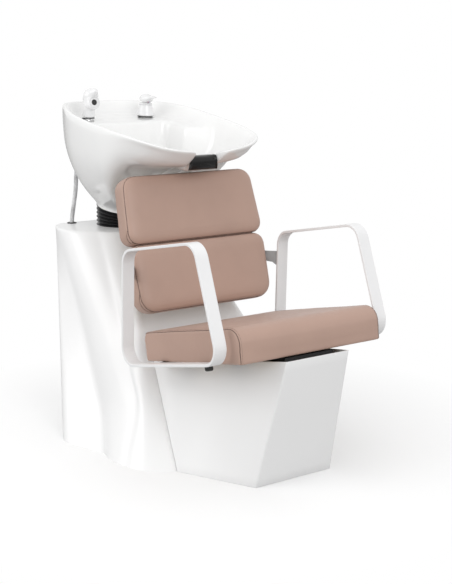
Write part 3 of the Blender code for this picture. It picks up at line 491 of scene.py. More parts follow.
def tube_mesh(path, radius, sides=8, closed=False, offset=0):
    """Verts and faces of a tube along a path, on frames carried along it without twist."""
    verts = []
    faces = []
    count = len(path)
    side = None
    for i, here in enumerate(path):
        if closed:
            along = path[(i + 1) % count] - path[i - 1]
        else:
            along = path[min(i + 1, count - 1)] - path[max(i - 1, 0)]
        along.normalize()
        if side is None:
            side = along.orthogonal().normalized()
        side = (side - along * side.dot(along)).normalized()
        up = along.cross(side)
        for j in range(sides):
            turn = 2 * math.pi * j / sides
            verts.append(here + (side * math.cos(turn) + up * math.sin(turn)) * radius)
    spans = count if closed else count - 1
    for i in range(spans):
        for j in range(sides):
            k = (j + 1) % sides
            here = offset + i * sides
            there = offset + ((i + 1) % count) * sides
            faces.append((here + j, here + k, there + k, there + j))
    if not closed:
        faces.append(tuple(offset + j for j in range(sides)))
        faces.append(tuple(offset + (count - 1) * sides + j for j in reversed(range(sides))))
    return verts, faces


def tubes(name, paths, radius, sides=8, closed=False):
    verts = []
    faces = []
    for path in paths:
        more, spans = tube_mesh(path, radius, sides, closed, len(verts))
        verts += more
        faces += spans
    return mesh_piece(name, verts, faces, 60)


def between(stations, values, at):
    if at <= stations[0]:
        return values[0]
    for i in range(1, len(stations)):
        if at <= stations[i]:
            share = (at - stations[i - 1]) / (stations[i] - stations[i - 1])
            return values[i - 1] + (values[i] - values[i - 1]) * share
    return values[-1]


def ease(low, high, at):
    share = min(max((at - low) / (high - low), 0.0), 1.0)
    return share * share * (3 - 2 * share)


def place_piece(piece, look, body, *nodes):
    """Give a finished piece its material, body and the CAD nodes it stands for."""
    piece.data.materials.clear()
    piece.data.materials.append(LOOKS[look])
    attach(piece, body)
    if nodes:
        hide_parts(*nodes)
    return piece


def surface_of(piece):
    """A search tree over a piece, in working coordinates."""
    verts = [v.co + MIDDLE for v in piece.data.vertices]
    return BVHTree.FromPolygons(verts, [tuple(p.vertices) for p in piece.data.polygons])


# ---------------------------------------------------------------- pedestal

COLUMN_TOP = 0.630
COLUMN_BACK = 0.505
SKIN = 0.006
BELLOWS_CENTRE = Vector((0.0, 0.365))
TOP_HOLE = 0.088
FOOT_CORNER = ((0.0, -0.381, 0.146), (0.630, -0.203, 0.486))
REAR_CREASE = ((0.0, -0.331, -0.029), (0.113, -0.291, 0.051), (0.35, -0.258, 0.221), (0.630, -0.236, 0.415))
MID_CREASE = ((0.0, -0.337, -0.160), (0.163, -0.262, -0.118), (0.248, -0.246, -0.045), (0.39, -0.214, 0.066),
              (0.630, -0.172, 0.266))
FRONT_CREASE = ((0.0, -0.283, -0.258), (0.163, -0.245, -0.155), (0.31, -0.215, -0.050), (0.40, -0.183, 0.013),
                (0.630, -0.090, 0.200))
INNER_CREASE = ((0.0, -0.241, -0.289), (0.285, -0.186, -0.078), (0.40, -0.160, 0.014), (0.630, -0.045, 0.188))
EDGE_STEPS = (6, 10, 14, 20, 16, 8, 6)
COLUMN_LEVELS = 40
EDGE_ROUND = 0.007


def crease_raw(crease, level):
    heights = [point[0] for point in crease]
    x = between(heights, [point[1] for point in crease], level)
    y = between(heights, [point[2] for point in crease], level)
    return Vector((x, y))


def crease_at(crease, level):
    """A crease's place at a height, with its bends eased over a few centimetres."""
    reach = min(0.035, level, COLUMN_TOP - level)
    total = Vector((0.0, 0.0))
    for k in range(-3, 4):
        total += crease_raw(crease, level + reach * k / 3)
    return total / 7


def column_outline(level):
    keys = [Vector((0.0, COLUMN_BACK)), Vector((-0.180, COLUMN_BACK))]
    for crease in (FOOT_CORNER, REAR_CREASE, MID_CREASE, FRONT_CREASE, INNER_CREASE):
        keys.append(crease_at(crease, level))
    keys.append(Vector((0.0, keys[-1].y)))
    share = level / COLUMN_TOP
    middle = 0.014 - 0.03 * share * (1 - share)
    swell = (0.0, 0.0, 0.004 * share, 0.012 + 0.013 * share**2, middle, 0.002, 0.0)
    outline = []
    for i in range(len(keys) - 1):
        a, b = keys[i], keys[i + 1]
        along = b - a
        out = Vector((along.y, -along.x)).normalized()
        for k in range(EDGE_STEPS[i]):
            t = k / EDGE_STEPS[i]
            outline.append(a + along * t + out * (4 * swell[i] * t * (1 - t)))
    outline.append(keys[-1])
    return outline


def both_halves(half):
    return list(half) + [Vector((-p.x, p.y)) for p in reversed(half[1:-1])]


def softened(ring, times):
    """Round a ring's corners a little by averaging neighbours."""
    count = len(ring)
    for _ in range(times):
        ring = [(ring[i - 1] + ring[i] * 2 + ring[(i + 1) % count]) / 4 for i in range(count)]
    return ring


def inset(ring, amount):
    count = len(ring)
    middle = sum(ring, Vector((0, 0))) / count
    moved = []
    for i in range(count):
        along = ring[(i + 1) % count] - ring[i - 1]
        side = Vector((-along.y, along.x)).normalized()
        if side.dot(middle - ring[i]) < 0:
            side = -side
        moved.append(ring[i] + side * amount)
    return moved


def column():
    def ring_at(level, amount):
        ring = softened(both_halves(column_outline(min(level, COLUMN_TOP))), 2)
        return [Vector((p.x, p.y, level)) for p in (inset(ring, amount) if amount else ring)]

    top = ring_at(COLUMN_TOP, 0.0)
    hole = []
    for p in top:
        spot = BELLOWS_CENTRE + (Vector((p.x, p.y)) - BELLOWS_CENTRE).normalized() * TOP_HOLE
        hole.append(spot)
    rings = [[Vector((p.x, p.y, COLUMN_TOP)) for p in hole]]
    for k in range(5):
        turn = math.radians(90 * k / 4)
        level = COLUMN_TOP - EDGE_ROUND * (1 - math.cos(turn))
        rings.append(ring_at(level, EDGE_ROUND * (1 - math.sin(turn))))
    last = COLUMN_TOP - EDGE_ROUND
    for k in range(1, COLUMN_LEVELS + 1):
        rings.append(ring_at(last * (1 - k / COLUMN_LEVELS), 0.0))
    for k in range(9):
        rings.append(ring_at((COLUMN_TOP - SKIN) * k / 8, SKIN))
    rings.append([Vector((p.x, p.y, COLUMN_TOP - SKIN)) for p in hole])
    shell = loft("pedestal_shell", rings, looped=True, angle=24)
    cut(shell, block("door", (-0.12, 0.47, 0.08), (0.12, 0.53, 0.48)), angle=24)
    cut(shell, block("notch", (-0.104, -0.400, -0.01), (0.104, -0.150, 0.028)), angle=24)
    drop = frame_of(at=(HOSE_HOLE.x, HOSE_HOLE.y, COLUMN_TOP))
    cut(shell, turned("bore", ((0.011, -0.02), (0.011, 0.02)), 32, drop), angle=24)
    place_piece(shell, "shell", "pedestal", "column_shell")
    collar = ((0.0085, 0.0), (0.0160, 0.0), (0.0160, 0.0012), (0.0145, 0.0026), (0.0090, 0.0030),
              (0.0085, 0.0026))
    grommet = turned("hose_grommet", collar, 32, drop, hollow=True)
    place_piece(grommet, "rubber", "pedestal")


COWL_FRONT = ((0.0, -0.139, -0.531), (0.384, -0.112, -0.634))
COWL_CORNER = 0.007


def cowl():
    """The U-shaped cover under the seat."""
    rings = []
    count = 14
    for k in range(count):
        share = k / (count - 1)
        rear_level = share * INNER_CREASE[1][0]
        front_level = share * COWL_FRONT[1][0]
        rear = crease_raw(INNER_CREASE[:2], rear_level)
        front = crease_raw(COWL_FRONT, front_level)
        rear = Vector((rear.x, rear.y - 0.002))
        side = (front - rear).normalized()
        out = Vector((side.y, -side.x))
        if out.x > 0:
            out = -out
        turn_centre = front + Vector((COWL_CORNER, COWL_CORNER))
        first = -Vector((0.0, 1.0))
        arc = []
        for j in range(7):
            share_turn = j / 6
            ray = out.lerp(first, share_turn).normalized()
            arc.append((ray, turn_centre + ray * COWL_CORNER))
        outer = [rear, rear.lerp(arc[0][1], 0.33), rear.lerp(arc[0][1], 0.66)] + [p for _, p in arc]
        outer.append(Vector((0.0, arc[-1][1].y)))
        rays = [out] * 3 + [ray for ray, _ in arc] + [first]
        inner = [p - ray * (SKIN * 0.7) for p, ray in zip(outer, rays)]

        def level_of(p):
            part = min(max((rear.y - p.y) / (rear.y - front.y), 0.0), 1.0)
            return rear_level + (front_level - rear_level) * part

        left_out = [Vector((p.x, p.y, level_of(p))) for p in outer]
        left_in = [Vector((p.x, p.y, level_of(p))) for p in inner]
        right_out = [Vector((-p.x, p.y, p.z)) for p in reversed(left_out[:-1])]
        right_in = [Vector((-p.x, p.y, p.z)) for p in left_in[:-1]]
        rings.append(left_out + right_out + right_in + list(reversed(left_in)))
    cover = loft("front_cover", rings, angle=28)
    bevel(cover, 0.0015, 2, 60)
    place_piece(cover, "shell", "pedestal", "front_cowl")


# ---------------------------------------------------------------- shower hose

TAP_X = 0.110
TAP_Y = 0.415
DECK_LEVEL = 0.975
TAP_HOLE = 0.017
HOSE_RADIUS = 0.007
HOSE_HOLE = Vector((-0.145, 0.481))
HOSE_POINTS = 40


def hose_route():
    return (
        (-TAP_X, TAP_Y, DECK_LEVEL - 0.0355), (-TAP_X, TAP_Y + 0.015, 0.915), (-0.112, 0.486, 0.855),
        (-0.106, 0.512, 0.800), (-0.112, 0.509, 0.740), (-0.127, 0.499, 0.685),
        (HOSE_HOLE.x, HOSE_HOLE.y, 0.632), (-0.152, 0.462, 0.560),
        (-0.148, 0.410, 0.420), (-0.130, 0.340, 0.280), (-0.100, 0.240, 0.195), (-0.065, 0.170, 0.200),
        (-0.045, 0.150, 0.290), (-0.040, 0.170, 0.400), (-0.040, 0.200, 0.478),
    )


def hose():
    """The free hose from the handset's sleeve down into the column."""
    path = spline(hose_route(), 4 * HOSE_POINTS)
    piece = tubes("supply_hose", [path], HOSE_RADIUS, 20)
    piece.data.materials.append(LOOKS["hose"])
    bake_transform(piece)
    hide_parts("shower_hose")


# ---------------------------------------------------------------- basin

FOOT_RADIUS = 0.100
FOOT_INNER = 0.085
FOOT_SLOPE = 0.18
FOOT_LEVEL = 0.6875
DRAIN = Vector((0.0, 0.305))
DRAIN_RADIUS = 0.018
RIM = (
    (0.000, 0.552, 1.030), (0.090, 0.540, 1.030), (0.158, 0.495, 1.028), (0.200, 0.415, 1.024),
    (0.228, 0.350, 1.015), (0.243, 0.285, 1.004), (0.248, 0.200, 0.990), (0.246, 0.110, 0.976),
    (0.240, 0.040, 0.965), (0.229, -0.020, 0.955), (0.214, -0.072, 0.944), (0.186, -0.110, 0.932),
    (0.145, -0.130, 0.921), (0.105, -0.140, 0.914), (0.078, -0.143, 0.911), (0.060, -0.138, 0.907),
    (0.053, -0.116, 0.897), (0.0505, -0.094, 0.885), (0.040, -0.078, 0.876), (0.020, -0.071, 0.872),
    (0.000, -0.070, 0.871),
)
BASIN_SIDES = 136
WALL = 0.014
SINK_REAR = 0.345
SINK_SIDE = 0.150
SINK_CORNER = 0.030


def foot_point(rim, radius, lift=0.0):
    away = (Vector((rim.x, rim.y)) - BELLOWS_CENTRE).normalized()
    spot = BELLOWS_CENTRE + away * radius
    return Vector((spot.x, spot.y, FOOT_LEVEL + FOOT_SLOPE * (spot.y - BELLOWS_CENTRE.y) + lift))


def floor_level(y):
    return between((-0.130, -0.060, 0.0, 0.070, 0.120, 0.200, 0.280, 0.330),
                   (0.888, 0.878, 0.871, 0.864, 0.850, 0.820, 0.804, 0.802), y)


def deck_level(y):
    """The tap deck, and the ledges that run forward from it on both sides."""
    return between((0.180, 0.220, 0.260, 0.320, 0.380, 0.415, 0.560),
                   (0.936, 0.948, 0.956, 0.964, 0.971, 0.975, 0.986), y)


def inside_sink(x, y):
    """How far a point lies inside the deep part's outline; negative is outside."""
    across = abs(x) - (SINK_SIDE - SINK_CORNER)
    back = y - (SINK_REAR - SINK_CORNER)
    if across > 0 and back > 0:
        return SINK_CORNER - math.hypot(across, back)
    return min(SINK_CORNER - across, SINK_CORNER - back)


def sink_edge(start, goal):
    """The share of the way from start to goal at which the line enters the deep part."""
    low, high = 0.0, 1.0
    if inside_sink(start.x, start.y) > 0:
        return 0.0
    for _ in range(24):
        middle = (low + high) / 2
        spot = start + (goal - start) * middle
        if inside_sink(spot.x, spot.y) > 0:
            high = middle
        else:
            low = middle
    return high


def front_band(x):
    """Height of the basin's front face below its lip, tallest beside the neck notch."""
    return between((0.050, 0.100, 0.145, 0.190, 0.230), (0.038, 0.028, 0.022, 0.014, 0.020), abs(x))


def outer_ring(loop, station):
    """One ring of the outside: station 0 is at the rim and 9 at the foot."""
    side_drop = (0.0, 0.08, 0.16, 0.30, 0.43, 0.58, 0.72, 0.83, 0.925, 1.0)[station]
    side_draw = (0.0, -0.010, -0.006, 0.012, 0.05, 0.18, 0.36, 0.57, 0.79, 1.0)[station]
    ring = []
    for rim in loop:
        set_back = between((0.050, 0.100, 0.160), (0.125, 0.085, 0.045), abs(rim.x))
        front_draws = (0.0, 0.15 * set_back, set_back, 0.06 + set_back, 0.38, 0.56, 0.78, 0.92, 0.98, 1.0)
        front_draw = front_draws[station]
        foot = foot_point(rim, FOOT_RADIUS, 0.012)
        lip = rim.z - front_band(rim.x)
        tuck = 0.6 * 0.848 + 0.4 * lip
        under = (rim.z, rim.z - 0.010, lip, tuck, 0.848, 0.828, 0.786, 0.746, 0.712, foot.z)
        front = 1.0 - ease(-0.070, 0.120, rim.y)
        draw = side_draw + (front_draw - side_draw) * front
        side_z = rim.z + (foot.z - rim.z) * side_drop
        z = side_z + (under[station] - side_z) * front
        ring.append(Vector((rim.x + (foot.x - rim.x) * draw, rim.y + (foot.y - rim.y) * draw, z)))
    return ring


INNER_STATIONS = 13


def inner_draw(station, edge, span):
    """How far along its line to the drain a station of the deep part lies."""
    if station < 4:
        return min((0.0, 0.03, 0.07, 0.12)[station], edge * station / 5)
    if station < 6:
        return edge - (0.010, 0.003)[station - 4] / span
    rest = (1.0 - edge) * span
    steps = ((0.003, 0.10), (0.008, 0.25), (0.014, 0.45), (0.030, 0.65))
    if station < 10:
        most, share = steps[station - 6]
        return edge + min(most, share * rest) / span
    last = edge + min(steps[3][0], steps[3][1] * rest) / span
    return last + (1.0 - last) * (0.35, 0.65, 0.90)[station - 10]


def inner_ring(loop, station):
    """One ring of the inside: station 0 is at the lip and the last one close to the drain."""
    side_draw = (0.0, 0.02, 0.05, 0.09, 0.14, 0.20, 0.27, 0.35, 0.44, 0.54, 0.65, 0.78, 0.90)[station]
    side_fall = (0.0, 0.12, 0.30, 0.52, 0.72, 0.85, 0.93, 0.97, 0.99, 1.0, 1.0, 1.0, 1.0)[station]
    ring = []
    for rim in loop:
        inward = (DRAIN - Vector((rim.x, rim.y))).normalized()
        start = Vector((rim.x, rim.y)) + inward * WALL
        goal = DRAIN - inward * (DRAIN_RADIUS + 0.001)
        rear = ease(0.135, 0.190, rim.y)
        span = max((goal - start).length, 0.02)
        rear_draw = inner_draw(station, max(0.20, sink_edge(start, goal)), span)
        draw = side_draw + (rear_draw - side_draw) * rear
        spot = start + (goal - start) * draw
        low = floor_level(spot.y)
        side_z = rim.z + (low - rim.z) * side_fall
        deck = deck_level(spot.y)
        rear_z = (rim.z, rim.z - 0.014, deck + 0.012, deck + 0.003, deck + 0.001, deck - 0.002, deck - 0.012,
                  0.6 * deck + 0.4 * low, 0.2 * deck + 0.8 * low, low + 0.003, low, low, low)[station]
        z = side_z + (rear_z - side_z) * rear
        ring.append(Vector((spot.x, spot.y, z)))
    return ring


def basin():
    """The ceramic, with its tap holes, the hollow under the deck and the drain opening."""
    right = [Vector(p) for p in RIM]
    left = [Vector((-p.x, p.y, p.z)) for p in reversed(right[1:-1])]
    loop = spline(right + left, BASIN_SIDES, closed=True)

    def drain_ring(level):
        ring = []
        for rim in loop:
            away = (Vector((rim.x, rim.y)) - DRAIN).normalized()
            spot = DRAIN + away * DRAIN_RADIUS
            ring.append(Vector((spot.x, spot.y, level)))
        return ring

    ceiling = []
    for rim in loop:
        p = foot_point(rim, FOOT_INNER)
        ceiling.append(Vector((p.x, p.y, 0.776)))
    rings = [drain_ring(0.776), ceiling]
    rings.append([foot_point(rim, FOOT_INNER + 0.001) for rim in loop])
    rings.append([foot_point(rim, FOOT_RADIUS - 0.002) for rim in loop])
    rings.append([foot_point(rim, FOOT_RADIUS, 0.002) for rim in loop])
    for station in range(9, 0, -1):
        rings.append(outer_ring(loop, station))
    rings.append([p - Vector((0, 0, 0.003)) for p in outer_ring(loop, 0)])
    for share in (0.25, 0.75):
        ring = []
        for rim in loop:
            inward = (Vector((DRAIN.x, DRAIN.y, 0)) - Vector((rim.x, rim.y, 0))).normalized()
            ring.append(rim + inward * WALL * share)
        rings.append(ring)
    inner = inner_ring(loop, 0)
    rings.append([p - Vector((0, 0, 0.004)) for p in inner])
    for station in range(1, INNER_STATIONS):
        rings.append(inner_ring(loop, station))
    rings.append(drain_ring(0.801))
    bowl = loft("basin_bowl", rings, looped=True, angle=80)
    subdivide(bowl, 1, 80)
    cut(bowl, block("pocket", (-0.140, 0.372, 0.806), (0.140, 0.640, 0.947)), angle=50)
    for x in (-TAP_X, TAP_X):
        place = frame_of(at=(x, TAP_Y, 0))
        cut(bowl, turned("tap_hole", ((TAP_HOLE, 0.93), (TAP_HOLE, 1.05)), 48, place), angle=50)
    place_piece(bowl, "ceramic", "basin_assembly", "basin")


NECK_HALF = 0.0465
NECK_TOP = 0.891
NECK_LOW = 0.845
NECK_FRONT = -0.093


def neck_ring(x, clear):
    """One slice of the gel pad across the notch, from inside the bowl over the lip and down in front."""
    lip_points = list(reversed(RIM[16:]))
    across = [p[0] for p in lip_points]
    lip_y = between(across, [p[1] for p in lip_points], abs(x)) - clear
    lip_z = between(across, [p[2] for p in lip_points], abs(x)) + clear
    top = max(NECK_TOP, lip_z + 0.007)
    front = min(NECK_FRONT + 0.004 * (x / NECK_HALF) ** 2, lip_y - 0.004)
    slice_points = (
        (1.0, lip_y + 0.036, lip_z + 0.002), (1.0, lip_y + 0.032, 0.5 * (lip_z + top)),
        (1.0, lip_y + 0.020, top), (1.0, lip_y + 0.002, top), (1.0, front + 0.004, top - 0.005),
        (1.0, front, 0.5 * (top + NECK_LOW) + 0.004),
        (1.13, front + 0.006, NECK_LOW + 0.006), (1.24, front + 0.017, NECK_LOW),
        (1.10, min(lip_y, front + 0.018), NECK_LOW + 0.006), (1.0, lip_y, lip_z),
    )
    return [Vector((x * flare, y, z)) for flare, y, z in slice_points]


def neck_rest():
    """Black gel saddle over the notch in the basin's front lip."""
    count = 29
    rings = []
    for k in range(count):
        x = NECK_HALF * (-1 + 2 * k / (count - 1))
        rings.append(neck_ring(x, 0.0045))
    pad = loft("neck_pad", rings, angle=80)
    subdivide(pad, 2, 80)
    place_piece(pad, "gel", "basin_assembly", "neck_rest")


def bellows():
    """Pleated rubber sleeve between the column top and the basin's foot."""
    folds = 5
    sides = 72
    wall = 0.0015
    steps = folds * 8
    outside = []
    inside = []
    for k in range(steps + 1):
        share = k / steps
        wave = math.cos(2 * math.pi * folds * share)
        radius = 0.0965 + 0.0050 * wave - 0.0015 * share
        for store, r in ((outside, radius), (inside, radius - wall)):
            ring = []
            for j in range(sides):
                turn = 2 * math.pi * j / sides
                x = r * math.cos(turn)
                y = r * math.sin(turn)
                top = FOOT_LEVEL + FOOT_SLOPE * y - 0.0003
                base = COLUMN_TOP + 0.0003
                ring.append(Vector((x, BELLOWS_CENTRE.y + y, base + (top - base) * share)))
            store.append(ring)
    sleeve = loft("pleated_sleeve", outside + list(reversed(inside)), looped=True, angle=70)
    sleeve.data.materials.append(LOOKS["rubber"])
    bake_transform(sleeve)
    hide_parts("bellows")


# ---------------------------------------------------------------- taps

HANDSET_LEAN = math.radians(8)
MIXER_LEAN = math.radians(4)


def handset():
    """Docked shower handset: body, round face and thumb beak blended into one moulding."""
    lean = frame_of(HANDSET_LEAN, (-TAP_X, TAP_Y, DECK_LEVEL))
    rings = []
    for radius, forward, up in ((0.0200, 0.000, 0.0116), (0.0212, 0.000, 0.0140), (0.0205, 0.000, 0.0180),
                                (0.0198, 0.001, 0.026), (0.0200, 0.002, 0.042), (0.0222, 0.004, 0.058),
                                (0.0245, 0.006, 0.073), (0.0242, 0.008, 0.086), (0.0200, 0.010, 0.097),
                                (0.0095, 0.012, 0.104)):
        ring = []
        for j in range(40):
            turn = 2 * math.pi * j / 40
            ring.append(lean @ Vector((radius * math.cos(turn), radius * math.sin(turn) - forward, up)))
        rings.append(ring)
    shape = loft("handset_body", rings)
    face = Matrix.Translation(lean @ Vector((0, -0.004, 0.056))) @ Matrix.Rotation(math.radians(82), 4, "X")
    barrel = ((0.0225, 0.0), (0.0238, 0.010), (0.0234, 0.022), (0.0225, 0.027), (0.0205, 0.030))
    cut(shape, turned("barrel", barrel, 48, face), "UNION")
    tip = Matrix.Translation(lean @ Vector((0, -0.006, 0.084))) @ Matrix.Rotation(math.radians(68), 4, "X")
    cut(shape, turned("beak", ((0.0170, 0.0), (0.0125, 0.026), (0.0055, 0.042)), 32, tip), "UNION")
    remesh(shape, 0.0011)
    relax(shape, 26)
    cut(shape, turned("well", ((0.0095, 0.025), (0.0095, 0.060)), 32, face), angle=50)
    ring_cut = ((0.0160, 0.0290), (0.0160, 0.040), (0.0172, 0.040), (0.0172, 0.0290))
    groove = turned("groove", ring_cut, 48, face, hollow=True)
    cut(shape, groove, angle=50)
    place_piece(shape, "glossy", "handset", "shower_handset")
    profile = ((0.0090, 0.0255), (0.0090, 0.0300), (0.0080, 0.0315), (0.0040, 0.0318))
    nozzle = turned("spray_nozzle", profile, 40, face, angle=40)
    place_piece(nozzle, "cap", "handset", "handset_nozzle")
    verts = []
    faces = []
    for k in range(8):
        turn = 2 * math.pi * k / 8
        centre = face @ Vector((0.0055 * math.cos(turn), 0.0055 * math.sin(turn), 0.0316))
        out = (face.to_3x3() @ Vector((0, 0, 1))).normalized()
        more, spans = tube_mesh([centre, centre + out * 0.0010], 0.0006, 8, False, len(verts))
        verts += more
        faces += spans
    jets = mesh_piece("spray_jets", verts, faces)
    place_piece(jets, "rubber", "handset")


def mixer():
    """Single-lever mixer with its hot and cold mark."""
    place = frame_of(MIXER_LEAN, (TAP_X, TAP_Y, DECK_LEVEL))
    body = ((0.0272, 0.0082), (0.0288, 0.0092), (0.0292, 0.0115), (0.0284, 0.0150), (0.0270, 0.0190),
            (0.0258, 0.0240), (0.0238, 0.0330), (0.0224, 0.0410), (0.0220, 0.0438), (0.0205, 0.0447))
    base = turned("mixer_barrel", body, 64, place, angle=50)
    place_piece(base, "glossy", "basin_assembly", "mixer_body")
    profile = ((0.0200, 0.0450), (0.0216, 0.0454), (0.0219, 0.0475), (0.0214, 0.0496), (0.0120, 0.0500),
               (0.0120, 0.0590))
    collar = turned("mixer_ring", profile, 64, place, angle=40)
    place_piece(collar, "glossy", "mixer_stem", "mixer_collar")
    rings = []
    for half, top, low, forward in ((0.0060, 0.0660, 0.0580, -0.0215), (0.0145, 0.0745, 0.0555, -0.0170),
                                    (0.0215, 0.0790, 0.0532, -0.0070), (0.0222, 0.0800, 0.0512, 0.0030),
                                    (0.0205, 0.0790, 0.0510, 0.0130), (0.0160, 0.0770, 0.0560, 0.0215),
                                    (0.0115, 0.0770, 0.0650, 0.0320), (0.0095, 0.0780, 0.0690, 0.0460),
                                    (0.0055, 0.0780, 0.0730, 0.0620)):
        ring = []
        middle = (top + low) / 2
        tall = (top - low) / 2
        for j in range(32):
            turn = 2 * math.pi * j / 32
            fullness = 0.5 if math.sin(turn) < 0 else 1.0
            across = math.copysign(abs(math.cos(turn)) ** fullness, math.cos(turn))
            ring.append(place @ Vector((half * across, -forward, middle + tall * math.sin(turn))))
        rings.append(ring)
    lever = loft("mixer_handle", rings)
    subdivide(lever, 1)
    remesh(lever, 0.0010)
    relax(lever, 4)
    socket = turned("socket", ((0.0150, 0.040), (0.0150, 0.0640)), 40, place)
    cut(lever, socket, angle=50)
    place_piece(lever, "glossy", "mixer_head", "mixer_lever")
    skin = surface_of(lever)
    for name, look, side in (("hot_mark", "red", -1), ("cold_mark", "blue", 1)):
        start = place @ Vector((side * 0.0024, -0.050, 0.0545))
        hit, normal, _, _ = skin.ray_cast(start, (place.to_3x3() @ Vector((0, 1, 0))).normalized())
        turn = Vector((0, 0, 1)).rotation_difference(normal).to_matrix().to_4x4()
        disc = ((0.0024, -0.0004), (0.0024, 0.0002), (0.0019, 0.0004))
        dot = turned(name, disc, 20, Matrix.Translation(hit) @ turn)
        place_piece(dot, look, "mixer_head")


# ---------------------------------------------------------------- upholstery

SEAT_SLOPE = math.radians(10.8)
SEAT_REAR = Vector((0.0, -0.143, 0.301))
SEAT_DEPTH = 0.482
SEAT_HALF = 0.250
SEAT_REAR_HEIGHT = 0.087
SEAT_FRONT_HEIGHT = 0.100
WATERFALL = 0.042
BACK_LEAN = math.radians(17.0)
BACK_JOINT = Vector((0.0, -0.070, 0.638))
CUSHION_THICK = 0.070
PAD_GAP = 0.0003
UPPER_HEIGHT = 0.208
LOWER_HEIGHT = 0.206
UPPER_CORNERS = (0.034, 0.034, 0.042, 0.042)
LOWER_CORNERS = (0.050, 0.050, 0.034, 0.034)
SEAM_DEPTH = 0.014
VOXEL = 0.0045
TAUT_ROUNDS = 24
SWELL = 0.0025
THREAD = 0.0011


def seat_point(x, forward, up):
    slope = SEAT_SLOPE
    y = SEAT_REAR.y - forward * math.cos(slope) + up * math.sin(slope)
    z = SEAT_REAR.z + forward * math.sin(slope) + up * math.cos(slope)
    return Vector((x, y, z))


def back_point(x, up, behind):
    lean = BACK_LEAN
    y = BACK_JOINT.y + up * math.sin(lean) + behind * math.cos(lean)
    z = BACK_JOINT.z + up * math.cos(lean) - behind * math.sin(lean)
    return Vector((x, y, z))


def from_back(p):
    """A point's (x, up, behind) in the back's plane."""
    lean = BACK_LEAN
    dy, dz = p.y - BACK_JOINT.y, p.z - BACK_JOINT.z
    up = dy * math.sin(lean) + dz * math.cos(lean)
    behind = dy * math.cos(lean) - dz * math.sin(lean)
    return p.x, up, behind


def from_seat(p):
    """A point's (x, forward, up) in the seat's plane."""
    slope = SEAT_SLOPE
    dy, dz = p.y - SEAT_REAR.y, p.z - SEAT_REAR.z
    forward = -dy * math.cos(slope) + dz * math.sin(slope)
    up = dy * math.sin(slope) + dz * math.cos(slope)
    return p.x, forward, up


def inflate(piece, cap):
    """Puff a closed piece with cloth pressure: taut, outwards only, and no point further than cap."""
    remesh(piece, VOXEL)
    relax(piece, 2)
    mesh = piece.data
    rest = [v.co.copy() for v in mesh.vertices]
    normals = [v.normal.copy() for v in mesh.vertices]
    cloth = piece.modifiers.new("cloth", "CLOTH")
    cloth.settings.use_pressure = True
    cloth.settings.uniform_pressure_force = 4.0
    cloth.settings.tension_stiffness = 40.0
    cloth.settings.bending_stiffness = 8.0
    cloth.settings.effector_weights.gravity = 0.0
    cloth.settings.quality = 5
    cloth.collision_settings.use_collision = False
    cloth.point_cache.frame_start = 1
    cloth.point_cache.frame_end = 20
    scene = bpy.context.scene
    for step in range(1, 21):
        scene.frame_set(step)
    graph = bpy.context.evaluated_depsgraph_get()
    puffed = bpy.data.meshes.new_from_object(piece.evaluated_get(graph))
    swell = []
    for before, normal, vertex in zip(rest, normals, puffed.vertices):
        swell.append(min(max((vertex.co - before).dot(normal), 0.0), cap))
    bpy.data.meshes.remove(puffed)
    piece.modifiers.clear()
    scene.frame_set(1)
    edges = [tuple(edge.vertices) for edge in mesh.edges]
    for _ in range(TAUT_ROUNDS):
        total = list(swell)
        count = [1] * len(swell)
        for a, b in edges:
            total[a] += swell[b]
            total[b] += swell[a]
            count[a] += 1
            count[b] += 1
        swell = [t / n for t, n in zip(total, count)]
    for vertex, before, normal, rise in zip(mesh.vertices, rest, normals, swell):
        vertex.co = before + normal * rise
    mesh.update()


def on_skin(skin, spots, sink):
    """Spots dropped onto a surface and sunk a little into it."""
    path = []
    for spot in spots:
        hit, normal, _, _ = skin.find_nearest(spot)
        path.append(hit - normal * sink)
    return path


def press_seam(piece, paths, depth, width):
    """Pull the skin in along seam lines."""
    spots = [spot for path in paths for spot in path]
    near = KDTree(len(spots))
    for i, spot in enumerate(spots):
        near.insert(spot, i)
    near.balance()
    normals = [v.normal.copy() for v in piece.data.vertices]
    for vertex, normal in zip(piece.data.vertices, normals):
        _, _, gap = near.find(vertex.co + MIDDLE)
        if gap < width:
            share = 1 - gap / width
            vertex.co -= normal * (depth * share * share)
    piece.data.update()


def back_outline(low, high, half_low, half_high, radii, pull):
    corners = ((-half_low + pull, low + pull), (half_low - pull, low + pull), (half_high - pull, high - pull),
               (-half_high + pull, high - pull))
    return rounded(corners, [max(radius - pull * 0.6, 0.01) for radius in radii], 14)


